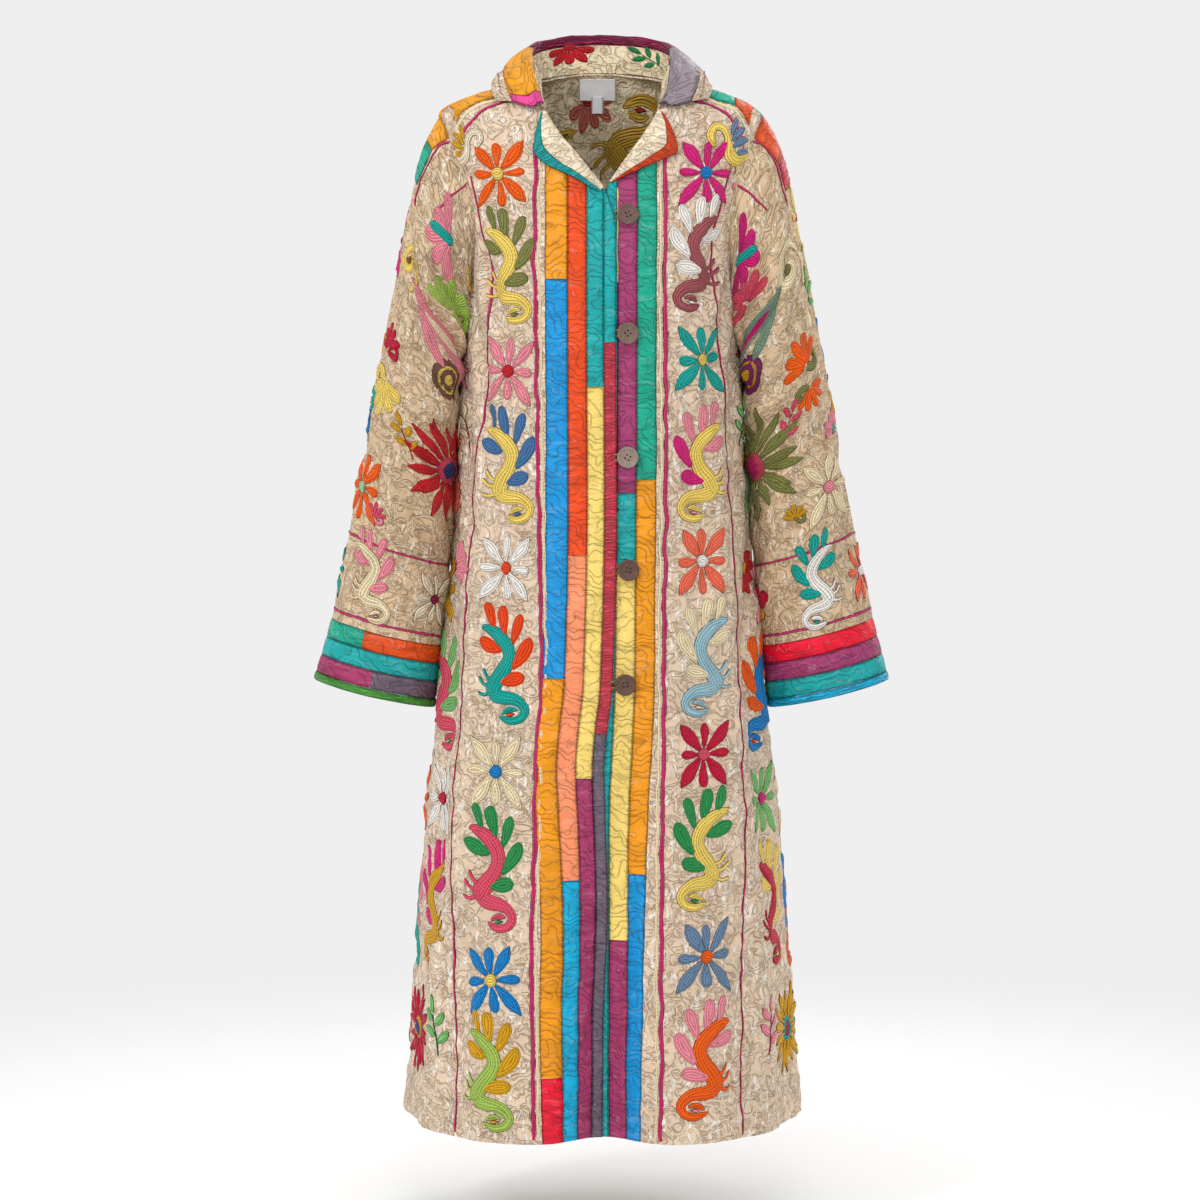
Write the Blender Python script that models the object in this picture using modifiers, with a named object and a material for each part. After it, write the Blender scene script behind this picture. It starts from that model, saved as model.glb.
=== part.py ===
"""A long embroidered coat, filled out as if worn, with no wearer inside it.

Units are metres, +Z is up and the front faces -Y. The origin lies between the two points where
the shoulder line meets the neck, which is where a wearer carries the coat. "Right" and "left"
are the wearer's, so the right front lies at -X.

Every panel is cut from one of two smooth surfaces, the body and the sleeve, so that pieces
meet along shared seam lines with a gap of SEAM_GAP between them.
"""

import math

import bmesh
import bpy
import numpy as np
from mathutils import Matrix, Vector

# Driving dimensions
CLOTH = 0.0020
BINDING = 0.0030
SEAM_GAP = 0.0003
COAT_HEM = -1.200
SHOULDER_POINT = -0.039
UNDERARM = -0.245
SKIRT_ROWS = 16
ARMHOLE_TURNS = 10
SHOULDER_LEVELS = (-0.036, -0.029, -0.021, -0.0125, -0.006, -0.0012)
ARMHOLE_FRONT_DEG = 31.0
ARMHOLE_BACK_DEG = 29.0
SECTION_POWER = 2.2
BACK_NECK_RISE = 0.014
FRONT_LAYER_LIFT = 0.0020

# Body sections, from the back of the neck down to the hem
BODY_COLUMNS = ("z", "half_width", "front", "back")
BODY_ROWS = (
    (0.000, 0.070, 0.025, 0.068),
    (-0.006, 0.110, 0.034, 0.073),
    (-0.0175, 0.151, 0.047, 0.079),
    (-0.029, 0.175, 0.058, 0.085),
    (-0.039, 0.186, 0.064, 0.089),
    (-0.060, 0.186, 0.077, 0.097),
    (-0.100, 0.178, 0.096, 0.108),
    (-0.150, 0.168, 0.113, 0.116),
    (-0.200, 0.161, 0.125, 0.117),
    (-0.245, 0.158, 0.130, 0.114),
    (-0.300, 0.158, 0.130, 0.110),
    (-0.367, 0.161, 0.129, 0.106),
    (-0.480, 0.168, 0.133, 0.109),
    (-0.600, 0.178, 0.143, 0.124),
    (-0.740, 0.190, 0.158, 0.142),
    (-0.830, 0.199, 0.169, 0.154),
    (-0.950, 0.209, 0.184, 0.168),
    (-1.066, 0.217, 0.200, 0.183),
    (-1.200, 0.2265, 0.218, 0.200),
)

# How far the centre front sinks in below the last button, and how far the side flutes swing
FOLD_COLUMNS = ("z", "centre_dip", "flute")
FOLD_ROWS = (
    (-0.560, 0.000, 0.0000),
    (-0.680, 0.005, 0.0010),
    (-0.780, 0.016, 0.0022),
    (-0.900, 0.032, 0.0040),
    (-1.050, 0.047, 0.0062),
    (-1.200, 0.060, 0.0085),
)
DIP_WIDTH = 0.052
FLUTES_ROUND = 7
FLUTE_PHASE_DEG = {-1: 20.0, 1: 65.0}

# The straight front edges, as distances towards the front's own side, and the turned-back line
EDGE_COLUMNS = ("z", "right_edge", "left_edge")
EDGE_ROWS = (
    (-1.200, -0.001, -0.006),
    (-1.080, -0.002, -0.006),
    (-0.937, -0.007, -0.006),
    (-0.820, -0.004, -0.005),
    (-0.782, -0.003, -0.003),
    (-0.743, -0.006, -0.001),
    (-0.685, -0.0125, 0.001),
    (-0.484, -0.017, 0.003),
    (-0.250, -0.016, 0.004),
    (0.000, -0.016, 0.004),
)
ROLL_COLUMNS = ("z", "right_roll", "left_roll")
ROLL_ROWS = (
    (-0.200, -0.030, -0.012),
    (-0.163, -0.0155, -0.006),
    (-0.127, -0.003, 0.0035),
    (-0.116, 0.005, 0.010),
    (-0.090, 0.026, 0.028),
    (-0.064, 0.047, 0.047),
    (-0.036, 0.063, 0.063),
    (-0.014, 0.068, 0.068),
    (0.000, 0.069, 0.069),
)

# Patchwork strips, each from the front edge outwards: name, inner and outer distance, and the
# heights where one colour ends and the next begins
STRIP_TOP = 0.0
STRIP_TOP_CLEAR = 0.002
RIGHT_STRIPS = (
    ("right_edge_binding", 0.000, 0.0140, BINDING, (COAT_HEM, -0.741, -0.300, STRIP_TOP)),
    ("right_border_inner", 0.0140, 0.0332, CLOTH, (COAT_HEM, -0.792, -0.350, STRIP_TOP)),
    ("right_border_middle", 0.0332, 0.0547, CLOTH, (COAT_HEM, -0.907, -0.540, STRIP_TOP)),
    ("right_border_outer", 0.0547, 0.0807, CLOTH, (COAT_HEM, -1.127, -0.679, -0.229, STRIP_TOP)),
)
LEFT_STRIPS = (
    ("left_edge_binding", 0.000, 0.0135, BINDING, (COAT_HEM, STRIP_TOP)),
    ("left_border_inner", 0.0135, 0.0361, CLOTH, (COAT_HEM, -0.976, -0.550, -0.470, STRIP_TOP)),
    ("left_border_outer", 0.0361, 0.0587, CLOTH, (COAT_HEM, -0.900, -0.455, STRIP_TOP)),
)
STRIP_ROW_CLEAR = 0.006

# The sleeve's outer and under lines, as distances from the centre and heights, with its half depth
SLEEVE_COLUMNS = ("t", "outer_x", "outer_z", "under_x", "under_z", "half_depth", "middle_y")
SLEEVE_ROWS = (
    (0.000, 0.1860, -0.039, 0.1590, -0.245, 0.063, 0.001),
    (0.060, 0.2045, -0.078, 0.1640, -0.256, 0.068, 0.002),
    (0.130, 0.2165, -0.122, 0.1675, -0.272, 0.072, 0.003),
    (0.220, 0.2290, -0.182, 0.1705, -0.298, 0.075, 0.004),
    (0.320, 0.2415, -0.245, 0.1720, -0.334, 0.075, 0.005),
    (0.430, 0.2555, -0.318, 0.1735, -0.388, 0.073, 0.005),
    (0.550, 0.2690, -0.393, 0.1755, -0.446, 0.070, 0.004),
    (0.670, 0.2825, -0.467, 0.1790, -0.510, 0.067, 0.002),
    (0.790, 0.2975, -0.543, 0.1855, -0.580, 0.063, 0.000),
    (0.900, 0.3140, -0.620, 0.1940, -0.652, 0.060, -0.002),
    (1.000, 0.3340, -0.691, 0.2050, -0.724, 0.057, -0.004),
)
SLEEVE_SIDES = 20
SLEEVE_RINGS = (0.05, 0.11, 0.18, 0.26, 0.35, 0.45, 0.55, 0.66, 0.78, 0.8997)
ARMHOLE_GAP = 0.0010
CUFF_LINES = (0.900, 0.930, 0.959, 0.987, 1.000)
CUFF_GAP = 0.0003

# Soft troughs on the sleeve: middle angle and place at each end, depth, width in degrees
SLEEVE_FOLD_COLUMNS = ("angle_top", "t_top", "angle_low", "t_low", "depth", "width_deg")
SLEEVE_FOLDS = (
    (112.0, 0.04, 138.0, 0.40, 0.0070, 15.0),
    (70.0, 0.30, 118.0, 0.62, 0.0030, 17.0),
    (246.0, 0.05, 218.0, 0.42, 0.0065, 16.0),
    (285.0, 0.42, 240.0, 0.70, 0.0028, 18.0),
)

# The collar, round the neck from the front end to the middle of the back
COLLAR_COLUMNS = ("turn", "roll_x", "roll_y", "roll_z", "edge_x", "edge_y", "edge_z")
COLLAR_ROWS = (
    (0.00, 0.0670, -0.0680, -0.0280, 0.1220, -0.0490, -0.0215),
    (0.16, 0.0745, -0.0540, -0.0080, 0.1260, -0.0350, -0.0140),
    (0.32, 0.0800, -0.0270, 0.0160, 0.1270, -0.0190, -0.0055),
    (0.50, 0.0815, 0.0080, 0.0340, 0.1245, 0.0100, -0.0030),
    (0.68, 0.0700, 0.0440, 0.0470, 0.1070, 0.0570, 0.0005),
    (0.84, 0.0405, 0.0690, 0.0550, 0.0625, 0.0890, 0.0025),
    (1.00, 0.0000, 0.0780, 0.0575, 0.0000, 0.1010, 0.0045),
)
COLLAR_END_Z = -0.036
NECK_EDGE_Z = -0.0012
COLLAR_FRONT_SHARE = 0.40
COLLAR_STATIONS = 21
COLLAR_ROLL_ROUND = 0.0055
COLLAR_SEAM_LIFT = 0.0012
COLLAR_GAP = 0.0007
COLLAR_GAP_SHARE = 0.03
COLLAR_FACING = -1.0
STRIP_PIECES = (("collar_strip_magenta", 0, 2), ("collar_strip_mustard", 2, 12),
                ("collar_strip_maroon", 12, 29), ("collar_strip_grey", 29, 40))

# The lapels, as the turned-back line's height and the free edge at that height
LAPEL_COLUMNS = ("share", "roll_z", "edge_u", "edge_z")
RIGHT_LAPEL_ROWS = (
    (0.00, -0.0400, 0.0690, -0.0400),
    (0.20, -0.0520, 0.0745, -0.0630),
    (0.40, -0.0680, 0.0770, -0.0840),
    (0.55, -0.0850, 0.0660, -0.0980),
    (0.75, -0.1030, 0.0400, -0.1120),
    (1.00, -0.1270, 0.0040, -0.1320),
)
LEFT_LAPEL_ROWS = (
    (0.00, -0.0400, 0.0690, -0.0400),
    (0.20, -0.0520, 0.0800, -0.0620),
    (0.40, -0.0680, 0.0860, -0.0840),
    (0.55, -0.0850, 0.0680, -0.0950),
    (0.75, -0.1010, 0.0400, -0.1070),
    (1.00, -0.1190, 0.0120, -0.1200),
)
LAPEL_STATIONS = 10
LAPEL_BINDING_SHARE = 0.80
LEFT_LAPEL_CLEAR = 0.0003
LAPEL_LIFTS = ((0.0, 0.0026), (0.3, 0.0075), (0.7, 0.0072), (1.0, 0.0050))

# Buttons, from the top one down: height and distance from the centre
BUTTONS = ((-0.157, 0.0295), (-0.290, 0.0290), (-0.430, 0.0290), (-0.557, 0.0300), (-0.686, 0.0265))
BUTTON_RADIUS = 0.0115
BUTTON_SIDES = 16
BUTTON_HOLE_RADIUS = 0.0009
BUTTON_HOLE_OFFSET = 0.0023
SHANK_RADIUS = 0.0020
SHANK_HEIGHT = 0.0034
LOOP_CORD = 0.0024
LOOP_TURN_RADIUS = 0.0038

LABEL_WIDTH, LABEL_TOP, LABEL_LOW = 0.044, 0.0100, -0.0120
TAB_WIDTH, TAB_LOW = 0.014, -0.0240
LABEL_MIDDLE = -0.005
TAB_OVERLAP = 0.0035
LABEL_CLOTH = 0.0006
LABEL_CLEAR = 0.0012

SHOULDER_STRIP_HALF = 0.012
CORNER_GAP = 0.0008

COLOURS = {
    "ground": (0.60, 0.48, 0.36), "cream": (0.78, 0.66, 0.52), "marigold": (0.75, 0.33, 0.03),
    "blue": (0.01, 0.22, 0.60), "red": (0.70, 0.02, 0.04), "orange": (0.78, 0.12, 0.01),
    "salmon": (0.85, 0.25, 0.14), "cyan": (0.00, 0.38, 0.55), "teal": (0.00, 0.33, 0.32),
    "yellow": (0.80, 0.55, 0.13), "burgundy": (0.30, 0.02, 0.09), "crimson": (0.50, 0.03, 0.07),
    "grey": (0.12, 0.10, 0.13), "green": (0.00, 0.28, 0.18), "plum": (0.27, 0.02, 0.12),
    "leaf": (0.08, 0.25, 0.05), "mauve": (0.26, 0.20, 0.22), "magenta": (0.60, 0.04, 0.20),
    "mustard": (0.75, 0.36, 0.02), "maroon": (0.35, 0.02, 0.06),
    "button": (0.12, 0.07, 0.05), "loop": (0.30, 0.20, 0.08), "label": (0.85, 0.86, 0.90),
}
SIDES = {"right": -1, "left": 1}


def smooth(places, values, at):
    """Reads a table as a smooth curve that never overshoots its rows."""
    order = np.argsort(places)
    x, y = np.asarray(places, float)[order], np.asarray(values, float)[order]
    step = np.diff(x)
    slope = np.diff(y) / step
    turn = np.zeros(len(x))
    turn[0], turn[-1] = slope[0], slope[-1]
    same = slope[:-1] * slope[1:] > 0
    turn[1:-1][same] = 2 * slope[:-1][same] * slope[1:][same] / (slope[:-1] + slope[1:])[same]
    at = np.clip(np.asarray(at, float), x[0], x[-1])
    i = np.clip(np.searchsorted(x, at) - 1, 0, len(step) - 1)
    h, f = step[i], (at - x[i]) / step[i]
    return (
        y[i] * (1 + 2 * f) * (1 - f) ** 2
        + turn[i] * h * f * (1 - f) ** 2
        + y[i + 1] * f * f * (3 - 2 * f)
        - turn[i + 1] * h * f * f * (1 - f)
    )


def column(rows, columns, name, at):
    """The value of a named column of a table, at a place along its first column."""
    index = columns.index(name)
    return smooth([r[0] for r in rows], [r[index] for r in rows], at)


def ease(value, low, high):
    """0 below low, 1 above high, and a smooth step between them."""
    f = np.clip((np.asarray(value, float) - low) / (high - low), 0, 1)
    return f * f * (3 - 2 * f)


def body_point(side, angle, z):
    """A point of the coat's outer surface. The angle is 0 at centre front, 90 at the side."""
    z = np.asarray(z, float) + 0.0 * np.asarray(angle, float)
    turn = np.radians(np.asarray(angle, float))
    half = column(BODY_ROWS, BODY_COLUMNS, "half_width", z)
    front = column(BODY_ROWS, BODY_COLUMNS, "front", z)
    back = column(BODY_ROWS, BODY_COLUMNS, "back", z)
    s, c = np.sin(turn), np.cos(turn)
    u = half * np.sign(s) * np.abs(s) ** (2 / SECTION_POWER)
    y = -np.where(c > 0, front, back) * np.sign(c) * np.abs(c) ** (2 / SECTION_POWER)
    dip = column(FOLD_ROWS, FOLD_COLUMNS, "centre_dip", z)
    y = y + dip * np.exp(-((u / DIP_WIDTH) ** 2)) * (c > 0)
    flute = column(FOLD_ROWS, FOLD_COLUMNS, "flute", z) * ease(np.abs(angle), 55, 85)
    flute = flute * np.cos(FLUTES_ROUND * turn + np.radians(FLUTE_PHASE_DEG[side]) * (1 - ease(np.abs(angle), 130, 180)))
    u, y = u + flute * s, y - flute * c
    rise = BACK_NECK_RISE * ease(z, -0.08, 0.0) * np.maximum(0, -c) ** 1.5
    return np.stack([side * u, y, z + rise], axis=-1)


def offset(surface, p, q, distance, step_p=0.05, step_q=0.0005):
    """A point of a surface moved out along its normal."""
    along = surface(p + step_p, q) - surface(p - step_p, q)
    up = surface(p, q + step_q) - surface(p, q - step_q)
    normal = np.cross(along, up)
    normal = normal / np.linalg.norm(normal, axis=-1, keepdims=True)
    return surface(p, q) + normal * np.asarray(distance, float)[..., None]


def body_offset(side, angle, z, distance):
    """A point above the body surface: a positive distance is outwards on both sides."""
    return offset(lambda a, h: body_point(side, a, h), angle, z, side * np.asarray(distance, float))


def front_layer(side, u):
    """The right front lies over the left one near the middle."""
    return -side * FRONT_LAYER_LIFT * (1 - ease(u, 0.022, 0.060))


def front_edge(side, z):
    return column(EDGE_ROWS, EDGE_COLUMNS, "right_edge" if side < 0 else "left_edge", z)


def roll_line(side, z):
    return column(ROLL_ROWS, ROLL_COLUMNS, "right_roll" if side < 0 else "left_roll", z)


def angle_at(side, z, u=None, distance=None):
    """The angle on one section where the sideways distance is u, or that lies a distance along
    the cloth from the front edge."""
    angles = np.linspace(-25.0, 100.0, 501)
    points = body_point(side, angles, np.full_like(angles, z))
    sideways = side * points[:, 0]
    if u is not None:
        return float(np.interp(u, sideways, angles))
    run = np.concatenate([[0], np.cumsum(np.linalg.norm(np.diff(points, axis=0), axis=1))])
    start = np.interp(float(front_edge(side, z)), sideways, run)
    return float(np.interp(start + distance, run, angles))


def armhole_angle(z, back=False):
    """Where the armhole cuts the section at this height."""
    middle, half = (SHOULDER_POINT + UNDERARM) / 2, (SHOULDER_POINT - UNDERARM) / 2
    share = math.sqrt(max(0.0, 1 - ((z - middle) / half) ** 2))
    return 90 + ARMHOLE_BACK_DEG * share if back else 90 - ARMHOLE_FRONT_DEG * share


def shoulder_strip_angle(z, back=False):
    """Where the shoulder strip's edge cuts the section at this height."""
    depth = float(column(BODY_ROWS, BODY_COLUMNS, "back" if back else "front", z))
    turn = math.degrees(math.acos((SHOULDER_STRIP_HALF / depth) ** (SECTION_POWER / 2)))
    return 180 - turn if back else turn


def body_rows():
    """The heights of the body's rows of points, finer at the armhole and the shoulder."""
    middle, half = (SHOULDER_POINT + UNDERARM) / 2, (SHOULDER_POINT - UNDERARM) / 2
    skirt = list(np.linspace(COAT_HEM, UNDERARM, SKIRT_ROWS))
    arm = [middle - half * math.cos(math.pi * k / ARMHOLE_TURNS) for k in range(1, ARMHOLE_TURNS)]
    return skirt + arm + list(SHOULDER_LEVELS)


def side_gap(side, angle, z, gap):
    """Moves an angle so that the point lies that far along the cloth."""
    step = 0.2
    here = body_point(side, angle - step, z)
    there = body_point(side, angle + step, z)
    return angle + gap * 2 * step / float(np.linalg.norm(there - here))


def new_object(name, mesh, colour, collection):
    obj = bpy.data.objects.new(name, mesh)
    collection.objects.link(obj)
    material = bpy.data.materials.new(name)
    material.use_nodes = True
    shader = material.node_tree.nodes["Principled BSDF"]
    shader.inputs["Base Color"].default_value = (*COLOURS[colour], 1.0)
    shader.inputs["Roughness"].default_value = 0.45 if colour == "button" else 0.85
    shader.inputs["Metallic"].default_value = 0.0
    obj.data.materials.append(material)
    return obj


def wall(name, outer, inner, colour, collection, wrap=False):
    """A closed wall of cloth between its outer and its inner grid of points, rows first."""
    rows, columns = outer.shape[:2]
    mesh = bmesh.new()
    out, inn = ([[mesh.verts.new(Vector(p)) for p in row] for row in grid] for grid in (outer, inner))
    for c in range(columns if wrap else columns - 1):
        d = (c + 1) % columns
        for r in range(rows - 1):
            mesh.faces.new((out[r][c], out[r][d], out[r + 1][d], out[r + 1][c]))
            mesh.faces.new((inn[r + 1][c], inn[r + 1][d], inn[r][d], inn[r][c]))
        mesh.faces.new((out[0][d], out[0][c], inn[0][c], inn[0][d]))
        mesh.faces.new((out[-1][c], out[-1][d], inn[-1][d], inn[-1][c]))
    if not wrap:
        for r in range(rows - 1):
            mesh.faces.new((out[r][0], out[r + 1][0], inn[r + 1][0], inn[r][0]))
            mesh.faces.new((out[r + 1][-1], out[r][-1], inn[r][-1], inn[r + 1][-1]))
    bmesh.ops.recalc_face_normals(mesh, faces=mesh.faces)
    sheet = bpy.data.meshes.new(name)
    mesh.to_mesh(sheet)
    mesh.free()
    return new_object(name, sheet, colour, collection)


def body_wall(name, side, angles, heights, lifts, colour, collection, thickness=CLOTH):
    """A wall of cloth that lies on the body surface, lifted from it row by row."""
    outer = body_offset(side, angles, heights, lifts)
    inner = body_offset(side, angles, heights, lifts - thickness)
    return wall(name, outer, inner, colour, collection)


def build_front(name, side, strips_width, collection):
    """One front: from the patchwork strips to the side seam, armhole and shoulder strip."""
    columns = 8
    angles, heights = [], []
    for z in body_rows():
        inner = angle_at(side, z, distance=strips_width + SEAM_GAP)
        inner = max(inner, angle_at(side, z, u=float(roll_line(side, z))))
        if z < UNDERARM + 1e-6:
            outer = 90.0
        elif z < SHOULDER_POINT:
            outer = armhole_angle(z)
        else:
            outer = shoulder_strip_angle(z)
        outer = side_gap(side, outer, z, -SEAM_GAP / 2)
        angles.append(np.linspace(min(inner, outer - 2.0), outer, columns))
        heights.append(np.full(columns, z))
    angles, heights = np.array(angles), np.array(heights)
    lifts = front_layer(side, side * body_point(side, angles, heights)[..., 0])
    return body_wall(name, side, angles, heights, lifts, "ground", collection)


def build_back(collection):
    """The back in one piece, from side seam to side seam, up to the neck."""
    half = 8
    outer, inner = [], []
    for z in body_rows():
        if z < UNDERARM + 1e-6:
            start = 90.0
        elif z < SHOULDER_POINT:
            start = armhole_angle(z, back=True)
        else:
            start = shoulder_strip_angle(z, back=True)
        for grid, depth in ((outer, 0.0), (inner, -CLOTH)):
            halves = []
            for side in (-1, 1):
                angles = np.linspace(side_gap(side, start, z, SEAM_GAP / 2), 180.0, half + 1)
                halves.append(body_offset(side, angles, np.full(half + 1, z), depth))
            grid.append(np.concatenate([halves[0], halves[1][::-1][1:]]))
    return wall("back", np.array(outer), np.array(inner), "ground", collection)


def strip_top(side, distance):
    """How high a line of the front, this far from the edge, runs before the cloth turns back."""
    heights = np.linspace(-0.20, -0.02, 73)
    for z in heights:
        line = angle_at(side, z, distance=distance)
        if line < angle_at(side, z, u=float(roll_line(side, z))):
            return float(z)
    return float(heights[-1])


def line_down_front(side, distance, rim_lift, thickness):
    """The outer and inner points of a line down a front, at the rows the front itself has."""
    heights = np.array(body_rows())
    angles = np.array([angle_at(side, z, distance=distance) for z in heights])
    lifts = front_layer(side, side * body_point(side, angles, heights)[..., 0]) + rim_lift
    points = [body_offset(side, angles, heights, lifts - depth) for depth in (0.0, thickness)]
    return heights, points


def build_strip(side, spec, colours, collection):
    """One patchwork strip down a front, with each colour as a piece of its own."""
    name, inner, outer, thickness, breaks = spec
    distances = (inner + SEAM_GAP / 2, outer - SEAM_GAP / 2)
    tops = [strip_top(side, d) - STRIP_TOP_CLEAR for d in distances]
    lines = [line_down_front(side, d, (thickness - CLOTH) / 2, thickness) for d in distances]
    for index, colour in enumerate(colours):
        low = breaks[index] + (SEAM_GAP / 2 if index else 0)
        highs = [min(breaks[index + 1] - SEAM_GAP / 2, top) for top in tops]
        rows = [z for z in body_rows() if low + STRIP_ROW_CLEAR < z < min(highs) - STRIP_ROW_CLEAR]
        sheets = []
        for face in (0, 1):
            columns = []
            for (heights, points), high in zip(lines, highs):
                levels = [low] + rows + [high]
                columns.append([[np.interp(z, heights, points[face][:, k]) for k in range(3)]
                                for z in levels])
            sheets.append(np.array(columns).transpose(1, 0, 2))
        piece = name if len(colours) == 1 else f"{name}_{index + 1}"
        wall(piece, *sheets, colour, collection)


def armhole_point(side, angle):
    """A point of the armhole's edge. The angle is 0 at the shoulder and 90 at the front."""
    middle, half = (SHOULDER_POINT + UNDERARM) / 2, (SHOULDER_POINT - UNDERARM) / 2
    turn = math.radians(angle)
    reach = ARMHOLE_FRONT_DEG if math.sin(turn) >= 0 else ARMHOLE_BACK_DEG
    return body_point(side, 90 - reach * math.sin(turn), middle + half * math.cos(turn))


def sleeve_point(side, angle, t):
    """A point of the sleeve's outer surface. The angle is 0 outside and 90 at the front."""
    value = {n: column(SLEEVE_ROWS, SLEEVE_COLUMNS, n, t) for n in SLEEVE_COLUMNS[1:]}
    turn = math.radians(angle)
    c, s = math.cos(turn), math.sin(turn)
    middle_x = (value["outer_x"] + value["under_x"]) / 2
    middle_z = (value["outer_z"] + value["under_z"]) / 2
    x = middle_x + (value["outer_x"] - value["under_x"]) / 2 * c
    z = middle_z + (value["outer_z"] - value["under_z"]) / 2 * c
    y = value["middle_y"] - value["half_depth"] * s
    return np.array([side * x, y, z], float)


def sleeve_fold(angle, t):
    """The depth of the soft troughs at a point of the sleeve."""
    total = 0.0
    for fold in SLEEVE_FOLDS:
        f = dict(zip(SLEEVE_FOLD_COLUMNS, fold))
        share = (t - f["t_top"]) / (f["t_low"] - f["t_top"])
        line = f["angle_top"] + (f["angle_low"] - f["angle_top"]) * share
        window = float(ease(share, -0.15, 0.25) * (1 - ease(share, 0.6, 1.1)))
        total += f["depth"] * window * math.exp(-(((angle - line) / f["width_deg"]) ** 2))
    return total


def sleeve_ring(side, t, sides=SLEEVE_SIDES):
    """One ring of the sleeve, joined smoothly to the armhole's own shape near the shoulder."""
    angles = [360 * i / sides for i in range(sides)]
    fade = 1 - float(ease(t, 0.0, 0.22))
    start = np.array([sleeve_point(side, a, 0.0) for a in angles])
    hole = np.array([armhole_point(side, a) for a in angles])
    points = np.array([sleeve_point(side, a, t) for a in angles])
    inwards = points.mean(axis=0) - points
    inwards /= np.linalg.norm(inwards, axis=1, keepdims=True)
    folds = np.array([sleeve_fold(a, t) for a in angles]) * float(ease(t, 0.0, 0.06))
    return points + (hole - start) * fade + inwards * folds[:, None]


def sleeve_wall(side, t, thickness=CLOTH, step=0.006):
    """A ring's outer and inner points, a cloth's thickness apart along the sleeve's normal."""
    ring = sleeve_ring(side, t)
    along = sleeve_ring(side, min(t + step, 1.0)) - sleeve_ring(side, max(t - step, 0.0))
    around = np.roll(ring, -1, axis=0) - np.roll(ring, 1, axis=0)
    normal = np.cross(around, along) * side
    normal /= np.linalg.norm(normal, axis=1, keepdims=True)
    grow = (thickness - CLOTH) / 2
    return ring + normal * grow, ring + normal * (grow - thickness)


def build_sleeve(name, side, collection):
    """The sleeve tube, from the armhole to the first cuff strip."""
    outwards = sleeve_ring(side, 0.03) - sleeve_ring(side, 0.0)
    outwards /= np.linalg.norm(outwards, axis=1, keepdims=True)
    rings = [sleeve_wall(side, 0.0)]
    rings[0] = tuple(ring + outwards * ARMHOLE_GAP for ring in rings[0])
    rings += [sleeve_wall(side, t) for t in SLEEVE_RINGS]
    outer, inner = (np.array([ring[k] for ring in rings]) for k in (0, 1))
    return wall(name, outer, inner, "ground", collection, wrap=True)


def build_cuff_strip(name, side, level, thickness, colour, collection, first=0, last=None):
    """One patchwork strip round the cuff, or the part of it between two seams."""
    lines = (CUFF_LINES[level] + CUFF_GAP, CUFF_LINES[level + 1] - CUFF_GAP)
    rings = [sleeve_wall(side, t, thickness) for t in lines]
    outer, inner = (np.array([ring[k] for ring in rings]) for k in (0, 1))
    if last is None:
        return wall(name, outer, inner, colour, collection, wrap=True)
    picked = [i % SLEEVE_SIDES for i in range(first, last + 1)]
    outer, inner = outer[:, picked], inner[:, picked]
    for grid in (outer, inner):
        for end, beside in ((0, 1), (-1, -2)):
            run = grid[:, beside] - grid[:, end]
            grid[:, end] += SEAM_GAP / 2 * run / np.linalg.norm(run, axis=1, keepdims=True)
    return wall(name, outer, inner, colour, collection)


def neck_edge(side, turn):
    """A point of the neckline, from the collar's front end round to the middle of the back."""
    first = angle_at(side, NECK_EDGE_Z, u=float(roll_line(side, NECK_EDGE_Z)))
    if turn >= COLLAR_FRONT_SHARE:
        share = (turn - COLLAR_FRONT_SHARE) / (1 - COLLAR_FRONT_SHARE)
        return body_point(side, first + (180 - first) * share, NECK_EDGE_Z)
    z = NECK_EDGE_Z + (COLLAR_END_Z - NECK_EDGE_Z) * (1 - turn / COLLAR_FRONT_SHARE)
    return body_point(side, angle_at(side, z, u=float(roll_line(side, z))), z)


def collar_station(turn, side):
    """The points across the collar at one place round the neck: stand, roll and fall."""
    at = {n: float(column(COLLAR_ROWS, COLLAR_COLUMNS, n, turn)) for n in COLLAR_COLUMNS[1:]}
    roll, edge = (np.array([side * at[f"{n}_x"], at[f"{n}_y"], at[f"{n}_z"]]) for n in ("roll", "edge"))
    up = np.array([0, 0, 1.0])
    seam = neck_edge(side, turn) + up * COLLAR_SEAM_LIFT
    out = edge - roll
    out[2] = 0
    out /= max(np.linalg.norm(out), 1e-9)
    stand = seam + (roll - seam) * 0.40
    neck = seam + (roll - seam) * 0.80
    over = roll + out * COLLAR_ROLL_ROUND + up * 0.0010
    down = roll + out * COLLAR_ROLL_ROUND * 2.6 - up * 0.0035
    fall = down + (edge - down) * 0.45 + out * 0.004 + up * 0.0020
    low = down + (edge - down) * 0.75 + out * 0.003 + up * 0.0015
    return [seam, stand, neck, roll, over, down, fall, low, edge]


def collar_grids():
    """The collar's outer and inner points, from the right front round the back to the left."""
    turns = np.linspace(0, 1, COLLAR_STATIONS)
    right = [collar_station(t, -1) for t in turns]
    left = [collar_station(t, 1) for t in turns[::-1][1:]]
    outer = np.array(right + left)
    around, across = np.gradient(outer, axis=0), np.gradient(outer, axis=1)
    normal = np.cross(around, across)
    normal /= np.linalg.norm(normal, axis=-1, keepdims=True)
    return outer, outer + normal * CLOTH * COLLAR_FACING


def between(grid, row, share):
    """A line of points part of the way from one row of a grid to the next."""
    return grid[:, row] * (1 - share) + grid[:, row + 1] * share


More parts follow.
